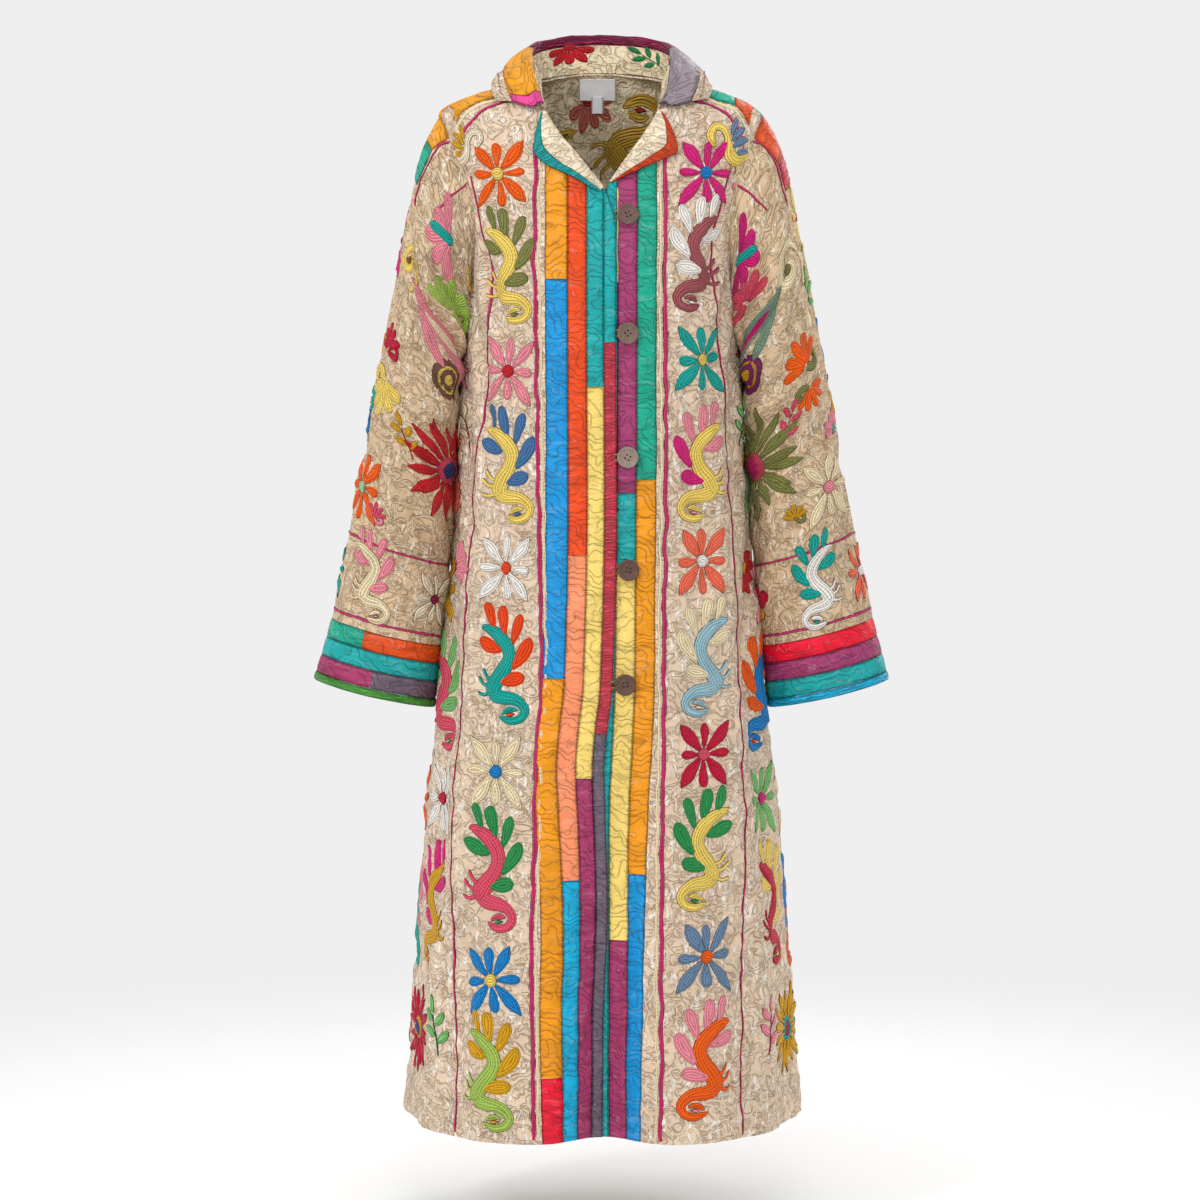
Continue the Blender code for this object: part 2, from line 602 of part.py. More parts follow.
def build_collar(collection):
    """The collar's stand, the patchwork strip over its roll, and its fall."""
    gap = COLLAR_GAP_SHARE
    stands, strips, falls = [], [], []
    for grid in collar_grids():
        stands.append(np.stack([grid[:, 0], grid[:, 1], between(grid, 1, 1 - gap)], axis=1))
        strips.append(np.stack([between(grid, 2, gap), grid[:, 3], grid[:, 4], grid[:, 5],
                                between(grid, 5, 1 - gap)], axis=1))
        falls.append(np.stack([between(grid, 6, gap), grid[:, 7], grid[:, 8]], axis=1))
    wall("collar_stand", *stands, "ground", collection)
    wall("collar_fall", *falls, "ground", collection)
    for name, first, last in STRIP_PIECES:
        parts = [strip[first:last + 1].copy() for strip in strips]
        for part in parts:
            for end, beside in ((0, 1), (-1, -2)):
                run = part[beside] - part[end]
                part[end] += COLLAR_GAP * run / np.linalg.norm(run, axis=1, keepdims=True)
        wall(name, *parts, name.rsplit("_", 1)[1], collection)


def build_lapel_piece(name, side, rows, first, last, across, colour, collection):
    """The part of a lapel between two shares of its width, moved out from the front's points."""
    places = np.zeros((LAPEL_STATIONS, across, 3))
    for i, share in enumerate(np.linspace(0.0, 1.0, LAPEL_STATIONS)):
        roll_z = float(column(rows, LAPEL_COLUMNS, "roll_z", share))
        edge_u = float(column(rows, LAPEL_COLUMNS, "edge_u", share))
        edge_z = float(column(rows, LAPEL_COLUMNS, "edge_z", share))
        roll_u = float(roll_line(side, roll_z)) + 0.0006
        spread = min(1.0, (abs(edge_u - roll_u) + abs(edge_z - roll_z)) / 0.03)
        for j, f in enumerate(np.linspace(first, last, across)):
            u, z = roll_u + (edge_u - roll_u) * f, roll_z + (edge_z - roll_z) * f
            lift = float(smooth([p[0] for p in LAPEL_LIFTS], [p[1] for p in LAPEL_LIFTS], f))
            lift = LAPEL_LIFTS[0][1] + (lift - LAPEL_LIFTS[0][1]) * spread
            base = float(front_layer(side, u)) + (LEFT_LAPEL_CLEAR if side > 0 else 0.0)
            places[i, j] = (angle_at(side, z, u=u), z, base + lift)
    angles, heights, lifts = np.moveaxis(places, -1, 0)
    return body_wall(name, side, angles, heights, lifts, colour, collection)


def build_lapel(name, side, rows, colour, collection):
    """The turned-back facing and the binding along its free edge."""
    gap = 0.006
    build_lapel_piece(name, side, rows, 0.0, LAPEL_BINDING_SHARE - gap, 4, "cream", collection)
    build_lapel_piece(f"{name}_binding", side, rows, LAPEL_BINDING_SHARE + gap, 1.0, 2, colour,
                      collection)


def build_shoulder_strip(name, side, colour, collection):
    """The patchwork strip along the shoulder, from the neck to the armhole."""
    middle, half = (SHOULDER_POINT + UNDERARM) / 2, (SHOULDER_POINT - UNDERARM) / 2
    corner = middle + half * math.cos(math.pi / ARMHOLE_TURNS)
    first = side_gap(side, armhole_angle(corner), corner, SEAM_GAP / 2)
    last = side_gap(side, armhole_angle(corner, back=True), corner, -CORNER_GAP)
    row = np.linspace(first, last, 7)
    reach = np.where(row < 90, ARMHOLE_FRONT_DEG, ARMHOLE_BACK_DEG)
    angles = [row]
    heights = [middle + half * np.sqrt(1 - ((row - 90) / reach) ** 2)]
    for level in SHOULDER_LEVELS:
        first = side_gap(side, shoulder_strip_angle(level), level, SEAM_GAP / 2)
        last = side_gap(side, shoulder_strip_angle(level, back=True), level, -SEAM_GAP / 2)
        angles.append(np.linspace(first, last, 7))
        heights.append(np.full(7, level))
    angles, heights = np.array(angles), np.array(heights)
    return body_wall(name, side, angles, heights, np.zeros_like(angles), colour, collection)


def button_profile():
    """Half of a button's outline from the foot of its thread shank to the middle of its dish."""
    r = BUTTON_RADIUS
    return (
        (0.0, 0.0), (SHANK_RADIUS, 0.0), (SHANK_RADIUS, SHANK_HEIGHT), (0.80 * r, SHANK_HEIGHT),
        (r, SHANK_HEIGHT + 0.0009), (0.95 * r, SHANK_HEIGHT + 0.0024),
        (0.78 * r, SHANK_HEIGHT + 0.0025), (0.66 * r, SHANK_HEIGHT + 0.0016), (0.0, SHANK_HEIGHT + 0.0014),
    )


def button_mesh(cutters):
    """A turned four-hole button with its thread shank, standing on the origin."""
    profile = bpy.data.meshes.new("button_profile")
    points = [(r, 0.0, z) for r, z in button_profile()]
    profile.from_pydata(points, [(i, i + 1) for i in range(len(points) - 1)], [])
    turned = bpy.data.objects.new("button_blank", profile)
    cutters.objects.link(turned)
    turned.hide_render = True
    screw = turned.modifiers.new("turn", "SCREW")
    screw.steps = screw.render_steps = BUTTON_SIDES
    screw.use_merge_vertices = True
    screw.merge_threshold = 0.00005
    screw.use_normal_calculate = True
    for i in range(4):
        turn = math.radians(45 + 90 * i)
        hole = bmesh.new()
        bmesh.ops.create_cone(hole, cap_ends=True, segments=6, radius1=BUTTON_HOLE_RADIUS,
                              radius2=BUTTON_HOLE_RADIUS, depth=0.004)
        place = Vector((math.cos(turn), math.sin(turn), 0)) * BUTTON_HOLE_OFFSET * math.sqrt(2)
        place.z = SHANK_HEIGHT + 0.001
        bmesh.ops.translate(hole, verts=hole.verts, vec=place)
        mesh = bpy.data.meshes.new(f"button_hole_{i}")
        hole.to_mesh(mesh)
        hole.free()
        cutter = bpy.data.objects.new(f"button_hole_{i}", mesh)
        cutters.objects.link(cutter)
        cutter.hide_render = True
        cutter.display_type = "WIRE"
        cut = turned.modifiers.new(f"hole_{i}", "BOOLEAN")
        cut.operation = "DIFFERENCE"
        cut.object = cutter
    bpy.context.view_layer.update()
    graph = bpy.context.evaluated_depsgraph_get()
    mesh = bpy.data.meshes.new_from_object(turned.evaluated_get(graph))
    fixed = bmesh.new()
    fixed.from_mesh(mesh)
    bmesh.ops.recalc_face_normals(fixed, faces=fixed.faces)
    fixed.to_mesh(mesh)
    fixed.free()
    return mesh


def strip_frame(z, u):
    """A frame on the left front's inner strip: its X runs sideways, its Z stands out."""
    angle = angle_at(1, z, u=u)
    lift = float(front_layer(1, u))
    here = body_offset(1, angle, z, lift)
    beside = body_offset(1, angle + 0.5, z, lift)
    above = body_offset(1, angle, z + 0.002, lift)
    across = Vector(beside - here).normalized()
    outwards = across.cross(Vector(above - here)).normalized()
    upwards = outwards.cross(across)
    frame = Matrix((across, upwards, outwards)).transposed().to_4x4()
    frame.translation = Vector(here)
    return frame


def build_buttons(collection, cutters):
    """Five buttons on the left front, each in a cord loop from the right front's edge."""
    mesh = button_mesh(cutters)
    for number, (z, u) in enumerate(BUTTONS, start=1):
        frame = strip_frame(z, u)
        button = new_object(f"button_{number}", mesh.copy(), "button", collection)
        button.data.materials.clear()
        button.data.materials.append(bpy.data.materials[f"button_{number}"])
        button.matrix_world = frame @ Matrix.Translation((0, 0, SEAM_GAP))
        edge = -float(front_edge(-1, z)) + 0.0005
        start = edge - u
        height = LOOP_CORD / 2 + SEAM_GAP
        half = LOOP_TURN_RADIUS
        path = [(start, half, height)]
        for k in range(7):
            turn = math.radians(90 - 30 * k)
            path.append((half * math.cos(turn), half * math.sin(turn), height))
        path.append((start, -half, height))
        line = bpy.data.curves.new(f"button_loop_{number}", "CURVE")
        line.dimensions = "3D"
        line.bevel_depth = LOOP_CORD / 2
        line.bevel_resolution = 1
        line.use_fill_caps = True
        spline = line.splines.new("POLY")
        spline.points.add(len(path) - 1)
        for point, place in zip(spline.points, path):
            point.co = (*place, 1.0)
        loop = new_object(f"button_loop_{number}", line, "loop", collection)
        loop.matrix_world = frame


def build_label(collection):
    """The plain neck label and the small tab below it, inside the back."""
    for name, width, top, low, depth in (
        ("neck_label", LABEL_WIDTH, LABEL_TOP, LABEL_LOW, CLOTH + LABEL_CLEAR),
        ("size_tab", TAB_WIDTH, LABEL_LOW + TAB_OVERLAP, TAB_LOW,
         CLOTH + LABEL_CLOTH + LABEL_CLEAR + SEAM_GAP),
    ):
        places = LABEL_MIDDLE + np.linspace(-width / 2, width / 2, 5)
        heights = np.repeat(np.minimum(np.linspace(low, top, 3) - BACK_NECK_RISE, NECK_EDGE_Z), 5)
        heights = heights.reshape(3, 5)
        half = column(BODY_ROWS, BODY_COLUMNS, "half_width", heights)
        turns = np.arcsin((np.abs(places) / half) ** (SECTION_POWER / 2))
        angles = 180 - np.degrees(turns) * np.sign(places)
        body_wall(name, 1, angles, heights, np.full_like(angles, -depth), "label", collection,
                  LABEL_CLOTH)


def build():
    for obj in list(bpy.data.objects):
        bpy.data.objects.remove(obj)
    coat = bpy.data.collections.new("embroidered_coat")
    cutters = bpy.data.collections.new("cutters")
    bpy.context.scene.collection.children.link(coat)
    bpy.context.scene.collection.children.link(cutters)
    build_front("right_front", -1, RIGHT_STRIPS[-1][2], coat)
    build_front("left_front", 1, LEFT_STRIPS[-1][2], coat)
    build_back(coat)
    right_colours = (
        ("grey", "crimson", "teal"), ("burgundy", "yellow", "teal"),
        ("cyan", "salmon", "orange"), ("red", "marigold", "blue", "marigold"),
    )
    left_colours = (("teal",), ("burgundy", "yellow", "teal", "plum"), ("blue", "marigold", "green"))
    for spec, colours in zip(RIGHT_STRIPS, right_colours):
        build_strip(-1, spec, colours, coat)
    for spec, colours in zip(LEFT_STRIPS, left_colours):
        build_strip(1, spec, colours, coat)
    for name, side in SIDES.items():
        build_sleeve(f"{name}_sleeve", side, coat)
    build_cuff_strip("right_cuff_top_1", -1, 0, CLOTH, "green", coat, -5, 4)
    build_cuff_strip("right_cuff_top_2", -1, 0, CLOTH, "orange", coat, 4, 15)
    build_cuff_strip("right_cuff_middle", -1, 1, CLOTH, "teal", coat)
    build_cuff_strip("right_cuff_lower_1", -1, 2, CLOTH, "burgundy", coat, -5, 5)
    build_cuff_strip("right_cuff_lower_2", -1, 2, CLOTH, "grey", coat, 5, 15)
    build_cuff_strip("right_cuff_binding", -1, 3, BINDING, "leaf", coat)
    build_cuff_strip("left_cuff_top", 1, 0, CLOTH, "red", coat)
    build_cuff_strip("left_cuff_middle", 1, 1, CLOTH, "plum", coat)
    build_cuff_strip("left_cuff_lower", 1, 2, CLOTH, "teal", coat)
    build_cuff_strip("left_cuff_binding", 1, 3, BINDING, "cyan", coat)
    build_shoulder_strip("right_shoulder_strip", -1, "marigold", coat)
    build_shoulder_strip("left_shoulder_strip", 1, "green", coat)
    build_collar(coat)
    build_lapel("right_lapel", -1, RIGHT_LAPEL_ROWS, "cyan", coat)
    build_lapel("left_lapel", 1, LEFT_LAPEL_ROWS, "orange", coat)
    build_buttons(coat, cutters)
    build_label(coat)


build()
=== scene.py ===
# %% [markdown]
# # A long embroidered coat
# The coat is a shell of quilted cotton, filled out as if worn. Its panels are cut from two smooth
# surfaces, the body and the sleeve. This lesson dresses the plain solids of the frame: finer
# cloth with creases, patchwork strips, chain-stitch flowers and birds, buttons, loops and a label.

# %% load the frame
import math
import bmesh
import bpy
import numpy as np
from mathutils import Matrix, Vector


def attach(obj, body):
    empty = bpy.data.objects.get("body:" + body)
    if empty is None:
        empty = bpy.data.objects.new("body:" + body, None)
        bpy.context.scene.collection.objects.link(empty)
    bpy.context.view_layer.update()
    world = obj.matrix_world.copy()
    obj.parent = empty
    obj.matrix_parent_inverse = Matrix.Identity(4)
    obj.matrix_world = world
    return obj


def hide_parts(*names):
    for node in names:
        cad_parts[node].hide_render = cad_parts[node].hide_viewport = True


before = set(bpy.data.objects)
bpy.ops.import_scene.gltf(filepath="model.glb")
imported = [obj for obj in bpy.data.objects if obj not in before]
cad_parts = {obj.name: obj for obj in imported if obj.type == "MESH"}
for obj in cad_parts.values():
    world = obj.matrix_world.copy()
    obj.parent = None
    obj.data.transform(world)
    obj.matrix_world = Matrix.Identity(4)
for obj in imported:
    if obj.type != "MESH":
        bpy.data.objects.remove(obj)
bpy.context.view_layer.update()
print("solids:", len(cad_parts))

# %% [markdown]
# ## The sizes
# These are the same tables that the solids were cut from: sections of the body from the neck to
# the hem, the line of the front edge, the line where the cloth turns back, and the sleeve.

# %% sizes of the body
CLOTH = 0.0020
BINDING = 0.0030
SEAM_GAP = 0.0003
COAT_HEM = -1.200
SHOULDER_POINT = -0.039
UNDERARM = -0.245
ARM_MIDDLE = (SHOULDER_POINT + UNDERARM) / 2
ARM_HALF = (SHOULDER_POINT - UNDERARM) / 2
ARMHOLE_FRONT_DEG = 31.0
ARMHOLE_BACK_DEG = 29.0
SECTION_POWER = 2.2
BACK_NECK_RISE = 0.014
FRONT_LAYER_LIFT = 0.0020
NECK_EDGE_Z = -0.0012
SHOULDER_STRIP_HALF = 0.012
SLEEVE_LENGTH = 0.66
SLEEVE_RADIUS = 0.066
CUFF_START = 0.8997
COLLAR_LENGTH, COLLAR_WIDTH = 0.46, 0.11
BODY_COLUMNS = ("z", "half_width", "front", "back")
BODY_ROWS = (
    (0.0, 0.07, 0.025, 0.068), (-0.006, 0.11, 0.034, 0.073), (-0.0175, 0.151, 0.047, 0.079),
    (-0.029, 0.175, 0.058, 0.085), (-0.039, 0.186, 0.064, 0.089), (-0.06, 0.186, 0.077, 0.097),
    (-0.1, 0.178, 0.096, 0.108), (-0.15, 0.168, 0.113, 0.116), (-0.2, 0.161, 0.125, 0.117),
    (-0.245, 0.158, 0.13, 0.114), (-0.3, 0.158, 0.13, 0.11), (-0.367, 0.161, 0.129, 0.106),
    (-0.48, 0.168, 0.133, 0.109), (-0.6, 0.178, 0.143, 0.124), (-0.74, 0.19, 0.158, 0.142),
    (-0.83, 0.199, 0.169, 0.154), (-0.95, 0.209, 0.184, 0.168), (-1.066, 0.217, 0.2, 0.183),
    (-1.2, 0.2265, 0.218, 0.2),
)
FOLD_COLUMNS = ("z", "centre_dip", "flute")
FOLD_ROWS = (
    (-0.56, 0.0, 0.0), (-0.68, 0.005, 0.001), (-0.78, 0.016, 0.0022), (-0.9, 0.032, 0.004),
    (-1.05, 0.047, 0.0062), (-1.2, 0.06, 0.0085),
)
DIP_WIDTH = 0.052
FLUTES_ROUND = 7
FLUTE_PHASE_DEG = {-1: 20.0, 1: 65.0}
EDGE_COLUMNS = ("z", "right_edge", "left_edge")
EDGE_ROWS = (
    (-1.2, -0.001, -0.006), (-1.08, -0.002, -0.006), (-0.937, -0.007, -0.006), (-0.82, -0.004, -0.005),
    (-0.782, -0.003, -0.003), (-0.743, -0.006, -0.001), (-0.685, -0.0125, 0.001), (-0.484, -0.017, 0.003),
    (-0.25, -0.016, 0.004), (0.0, -0.016, 0.004),
)
ROLL_COLUMNS = ("z", "right_roll", "left_roll")
ROLL_ROWS = (
    (-0.2, -0.03, -0.012), (-0.163, -0.0155, -0.006), (-0.127, -0.003, 0.0035), (-0.116, 0.005, 0.01),
    (-0.09, 0.026, 0.028), (-0.064, 0.047, 0.047), (-0.036, 0.063, 0.063), (-0.014, 0.068, 0.068),
    (0.0, 0.069, 0.069),
)
print("coat length:", -COAT_HEM, "m")

# %% sizes of the sleeve, collar and lapels
SLEEVE_COLUMNS = ("t", "outer_x", "outer_z", "under_x", "under_z", "half_depth", "middle_y")
SLEEVE_ROWS = (
    (0.0, 0.186, -0.039, 0.159, -0.245, 0.063, 0.001),
    (0.06, 0.2045, -0.078, 0.164, -0.256, 0.068, 0.002),
    (0.13, 0.2165, -0.122, 0.1675, -0.272, 0.072, 0.003),
    (0.22, 0.229, -0.182, 0.1705, -0.298, 0.075, 0.004),
    (0.32, 0.2415, -0.245, 0.172, -0.334, 0.075, 0.005),
    (0.43, 0.2555, -0.318, 0.1735, -0.388, 0.073, 0.005),
    (0.55, 0.269, -0.393, 0.1755, -0.446, 0.07, 0.004),
    (0.67, 0.2825, -0.467, 0.179, -0.51, 0.067, 0.002), (0.79, 0.2975, -0.543, 0.1855, -0.58, 0.063, 0.0),
    (0.9, 0.314, -0.62, 0.194, -0.652, 0.06, -0.002), (1.0, 0.334, -0.691, 0.205, -0.724, 0.057, -0.004),
)
CUFF_LINES = (0.900, 0.930, 0.959, 0.987, 1.000)
CUFF_GAP = 0.0003
SLEEVE_FOLD_COLUMNS = ("angle_top", "t_top", "angle_low", "t_low", "depth", "width_deg")
SLEEVE_FOLDS = (
    (112.0, 0.04, 138.0, 0.4, 0.007, 15.0), (70.0, 0.3, 118.0, 0.62, 0.003, 17.0),
    (246.0, 0.05, 218.0, 0.42, 0.0065, 16.0), (285.0, 0.42, 240.0, 0.7, 0.0028, 18.0),
)
COLLAR_COLUMNS = ("turn", "roll_x", "roll_y", "roll_z", "edge_x", "edge_y", "edge_z")
COLLAR_ROWS = (
    (0.0, 0.067, -0.068, -0.028, 0.122, -0.049, -0.0215),
    (0.16, 0.0745, -0.054, -0.008, 0.126, -0.035, -0.014),
    (0.32, 0.08, -0.027, 0.016, 0.127, -0.019, -0.0055),
    (0.5, 0.0815, 0.008, 0.034, 0.1245, 0.01, -0.003), (0.68, 0.07, 0.044, 0.047, 0.107, 0.057, 0.0005),
    (0.84, 0.0405, 0.069, 0.055, 0.0625, 0.089, 0.0025), (1.0, 0.0, 0.078, 0.0575, 0.0, 0.101, 0.0045),
)
COLLAR_END_Z = -0.036
COLLAR_FRONT_SHARE = 0.40
COLLAR_ROLL_ROUND = 0.0055
COLLAR_SEAM_LIFT = 0.0012
LAPEL_COLUMNS = ("share", "roll_z", "edge_u", "edge_z")
RIGHT_LAPEL_ROWS = (
    (0.0, -0.04, 0.069, -0.04), (0.2, -0.052, 0.0745, -0.063), (0.4, -0.068, 0.077, -0.084),
    (0.55, -0.085, 0.066, -0.098), (0.75, -0.103, 0.04, -0.112), (1.0, -0.127, 0.004, -0.132),
)
LEFT_LAPEL_ROWS = (
    (0.0, -0.04, 0.069, -0.04), (0.2, -0.052, 0.08, -0.062), (0.4, -0.068, 0.086, -0.084),
    (0.55, -0.085, 0.068, -0.095), (0.75, -0.101, 0.04, -0.107), (1.0, -0.119, 0.012, -0.12),
)
LAPEL_LIFTS = ((0.0, 0.0026), (0.3, 0.0075), (0.7, 0.0072), (1.0, 0.0050))
LAPEL_BINDING_SHARE = 0.66
LEFT_LAPEL_CLEAR = 0.0003
print("sleeve length:", round(math.dist(SLEEVE_ROWS[0][1:3], SLEEVE_ROWS[-1][1:3]), 3), "m")

# %% [markdown]
# ## Reading the tables
# A table is read as a smooth curve. A point of the body is found from an angle round the coat,
# 0 at centre front and 90 at the side seam, and a height. Cloth is easier to measure along
# itself, so each side also gets a table that turns a distance from centre front into an angle.

# %% smooth curves and the body's surface
def smooth(places, values, at):
    """Reads a table as a smooth curve that never overshoots its rows."""
    order = np.argsort(places)
    x, y = np.asarray(places, float)[order], np.asarray(values, float)[order]
    step = np.diff(x)
    slope = np.diff(y) / step
    turn = np.zeros(len(x))
    turn[0], turn[-1] = slope[0], slope[-1]
    same = slope[:-1] * slope[1:] > 0
    turn[1:-1][same] = 2 * slope[:-1][same] * slope[1:][same] / (slope[:-1] + slope[1:])[same]
    at = np.clip(np.asarray(at, float), x[0], x[-1])
    i = np.clip(np.searchsorted(x, at) - 1, 0, len(step) - 1)
    h, f = step[i], (at - x[i]) / step[i]
    return (y[i] * (1 + 2 * f) * (1 - f) ** 2 + turn[i] * h * f * (1 - f) ** 2
            + y[i + 1] * f * f * (3 - 2 * f) - turn[i + 1] * h * f * f * (1 - f))


def column(rows, columns, name, at):
    index = columns.index(name)
    return smooth([r[0] for r in rows], [r[index] for r in rows], at)


def ease(value, low, high):
    f = np.clip((np.asarray(value, float) - low) / (high - low), 0, 1)
    return f * f * (3 - 2 * f)


def body_point(side, angle, z):
    """A point of the coat's outer surface, without its small creases."""
    z = np.asarray(z, float) + 0.0 * np.asarray(angle, float)
    turn = np.radians(np.asarray(angle, float))
    half = column(BODY_ROWS, BODY_COLUMNS, "half_width", z)
    front = column(BODY_ROWS, BODY_COLUMNS, "front", z)
    back = column(BODY_ROWS, BODY_COLUMNS, "back", z)
    s, c = np.sin(turn), np.cos(turn)
    u = half * np.sign(s) * np.abs(s) ** (2 / SECTION_POWER)
    y = -np.where(c > 0, front, back) * np.sign(c) * np.abs(c) ** (2 / SECTION_POWER)
    dip = column(FOLD_ROWS, FOLD_COLUMNS, "centre_dip", z)
    y = y + dip * np.exp(-((u / DIP_WIDTH) ** 2)) * (c > 0)
    flute = column(FOLD_ROWS, FOLD_COLUMNS, "flute", z) * ease(np.abs(angle), 55, 85)
    phase = np.radians(FLUTE_PHASE_DEG[side]) * (1 - ease(np.abs(angle), 130, 180))
    flute = flute * np.cos(FLUTES_ROUND * turn + phase)
    u, y = u + flute * s, y - flute * c
    rise = BACK_NECK_RISE * ease(z, -0.08, 0.0) * np.maximum(0, -c) ** 1.5
    return np.stack([side * u, y, z + rise], axis=-1)


def step_lengths(points):
    return np.linalg.norm(np.diff(points, axis=0), axis=1)


def distances_along(points):
    """How far each point of a line lies from its start."""
    return np.concatenate([[0], np.cumsum(step_lengths(points))])


def spline(a, b, c, d, f):
    """A curve's point between b and c, a share f of the way."""
    return 0.5 * (2 * b + (c - a) * f + (2 * a - 5 * b + 4 * c - d) * f * f
                  + (3 * b - a - 3 * c + d) * f ** 3)


def unit(vectors):
    return vectors / np.maximum(np.linalg.norm(vectors, axis=-1, keepdims=True), 1e-12)


def body_offset(side, angle, z, distance):
    """A point above the body's surface: a positive distance is outwards."""
    along = body_point(side, angle + 0.05, z) - body_point(side, angle - 0.05, z)
    up = body_point(side, angle, z + 0.0005) - body_point(side, angle, z - 0.0005)
    normal = unit(np.cross(along, up)) * side
    return body_point(side, angle, z) + normal * np.asarray(distance, float)[..., None]


print("shoulder point:", body_point(1, 90.0, SHOULDER_POINT).round(3))

# %% distances along the cloth
LEVELS = np.concatenate([np.linspace(COAT_HEM, -0.062, 240), np.linspace(-0.060, -0.0006, 80)])
TURNS = np.linspace(-25, 180, 821)
RUNS = np.linspace(-0.045, 0.70, 374)
SIDEWAYS = np.linspace(-0.045, 0.235, 141)


class BodySide:
    """Distances along the cloth on one side of the body, kept as tables."""

    def __init__(self, side):
        angles, heights = np.meshgrid(TURNS, LEVELS)
        points = body_point(side, angles, heights)
        steps = np.linalg.norm(np.diff(points, axis=1), axis=2)
        run = np.concatenate([np.zeros((len(LEVELS), 1)), np.cumsum(steps, axis=1)], axis=1)
        front = TURNS <= 90
        self.run = np.empty_like(run)
        self.by_run = np.empty((len(LEVELS), len(RUNS)))
        self.by_u = np.empty((len(LEVELS), len(SIDEWAYS)))
        for i in range(len(LEVELS)):
            sideways = side * points[i, front, 0]
            self.run[i] = run[i] - np.interp(0.0, sideways, run[i, front])
            self.by_run[i] = np.interp(RUNS, self.run[i], TURNS)
            self.by_u[i] = np.interp(SIDEWAYS, sideways, TURNS[front])

    @staticmethod
    def read(table, axis, x, z):
        x, z = np.broadcast_arrays(np.asarray(x, float), np.asarray(z, float))
        i = np.clip(np.searchsorted(LEVELS, z) - 1, 0, len(LEVELS) - 2)
        f = np.clip((z - LEVELS[i]) / (LEVELS[i + 1] - LEVELS[i]), 0, 1)
        place = np.clip((x - axis[0]) / (axis[1] - axis[0]), 0, len(axis) - 1.0001)
        j = place.astype(int)
        g = place - j
        low = table[i, j] * (1 - g) + table[i, j + 1] * g
        high = table[i + 1, j] * (1 - g) + table[i + 1, j + 1] * g
        return low * (1 - f) + high * f


BODY = {-1: BodySide(-1), 1: BodySide(1)}


def angle_from_run(side, run, z):
    return BODY[side].read(BODY[side].by_run, RUNS, run, z)


def angle_from_u(side, u, z):
    return BODY[side].read(BODY[side].by_u, SIDEWAYS, u, z)


def run_from_angle(side, angle, z):
    return BODY[side].read(BODY[side].run, TURNS, angle, z)


def front_layer(side, u):
    """The right front lies over the left one near the middle."""
    return -side * FRONT_LAYER_LIFT * (1 - ease(u, 0.022, 0.060))


def front_edge(side, z):
    return column(EDGE_ROWS, EDGE_COLUMNS, "right_edge" if side < 0 else "left_edge", z)


def roll_line(side, z):
    return column(ROLL_ROWS, ROLL_COLUMNS, "right_roll" if side < 0 else "left_roll", z)


def edge_run(side, z):
    """How far the front edge lies from centre front, along the cloth."""
    return run_from_angle(side, angle_from_u(side, front_edge(side, z), z), z)


def armhole_angle(z, back=False):
    share = np.sqrt(np.maximum(0.0, 1 - ((z - ARM_MIDDLE) / ARM_HALF) ** 2))
    return 90 + ARMHOLE_BACK_DEG * share if back else 90 - ARMHOLE_FRONT_DEG * share


def shoulder_strip_angle(z, back=False):
    depth = column(BODY_ROWS, BODY_COLUMNS, "back" if back else "front", z)
    turn = np.degrees(np.arccos((SHOULDER_STRIP_HALF / depth) ** (SECTION_POWER / 2)))
    return 180 - turn if back else turn


print("half round the hem:", round(float(run_from_angle(1, 180.0, COAT_HEM)), 3), "m")

# %% [markdown]
# ## Creases
# The large folds are in the surface already. Here come the smaller ones: troughs pulled
# from the armholes and at the waist, and the small uneven puckers that hand quilting leaves.

# %% creases of the body
CREASE_COLUMNS = ("run_top", "z_top", "run_low", "z_low", "depth", "width")
FRONT_CREASES = (
    (0.156, -0.17, 0.118, -0.3, 0.006, 0.012), (0.172, -0.225, 0.138, -0.43, 0.0058, 0.014),
    (0.192, -0.29, 0.17, -0.6, 0.0062, 0.017), (0.11, -0.42, 0.128, -0.7, 0.0034, 0.02),
    (0.2, -0.6, 0.235, -1.0, 0.006, 0.022), (0.12, -0.76, 0.15, -1.15, 0.005, 0.024),
    (0.178, -0.93, 0.2, -1.24, 0.007, 0.022), (0.105, -0.05, 0.15, -0.13, 0.0036, 0.011),
    (0.092, -0.95, 0.1, -1.23, 0.0044, 0.02), (0.15, -0.5, 0.12, -0.62, 0.0036, 0.014),
    (0.225, -0.42, 0.205, -0.76, 0.005, 0.018),
)
BACK_CREASES = (
    (0.06, -0.13, 0.04, -0.42, 0.0046, 0.02), (0.13, -0.18, 0.1, -0.4, 0.0055, 0.015),
    (0.17, -0.24, 0.14, -0.52, 0.006, 0.017), (0.02, -0.5, 0.06, -1.0, 0.0055, 0.026),
    (0.11, -0.56, 0.15, -1.18, 0.0075, 0.026), (0.205, -0.7, 0.24, -1.23, 0.007, 0.024),
    (0.005, -0.9, -0.01, -1.24, 0.0056, 0.028),
)


print("creases listed:", len(FRONT_CREASES), "and", len(BACK_CREASES))


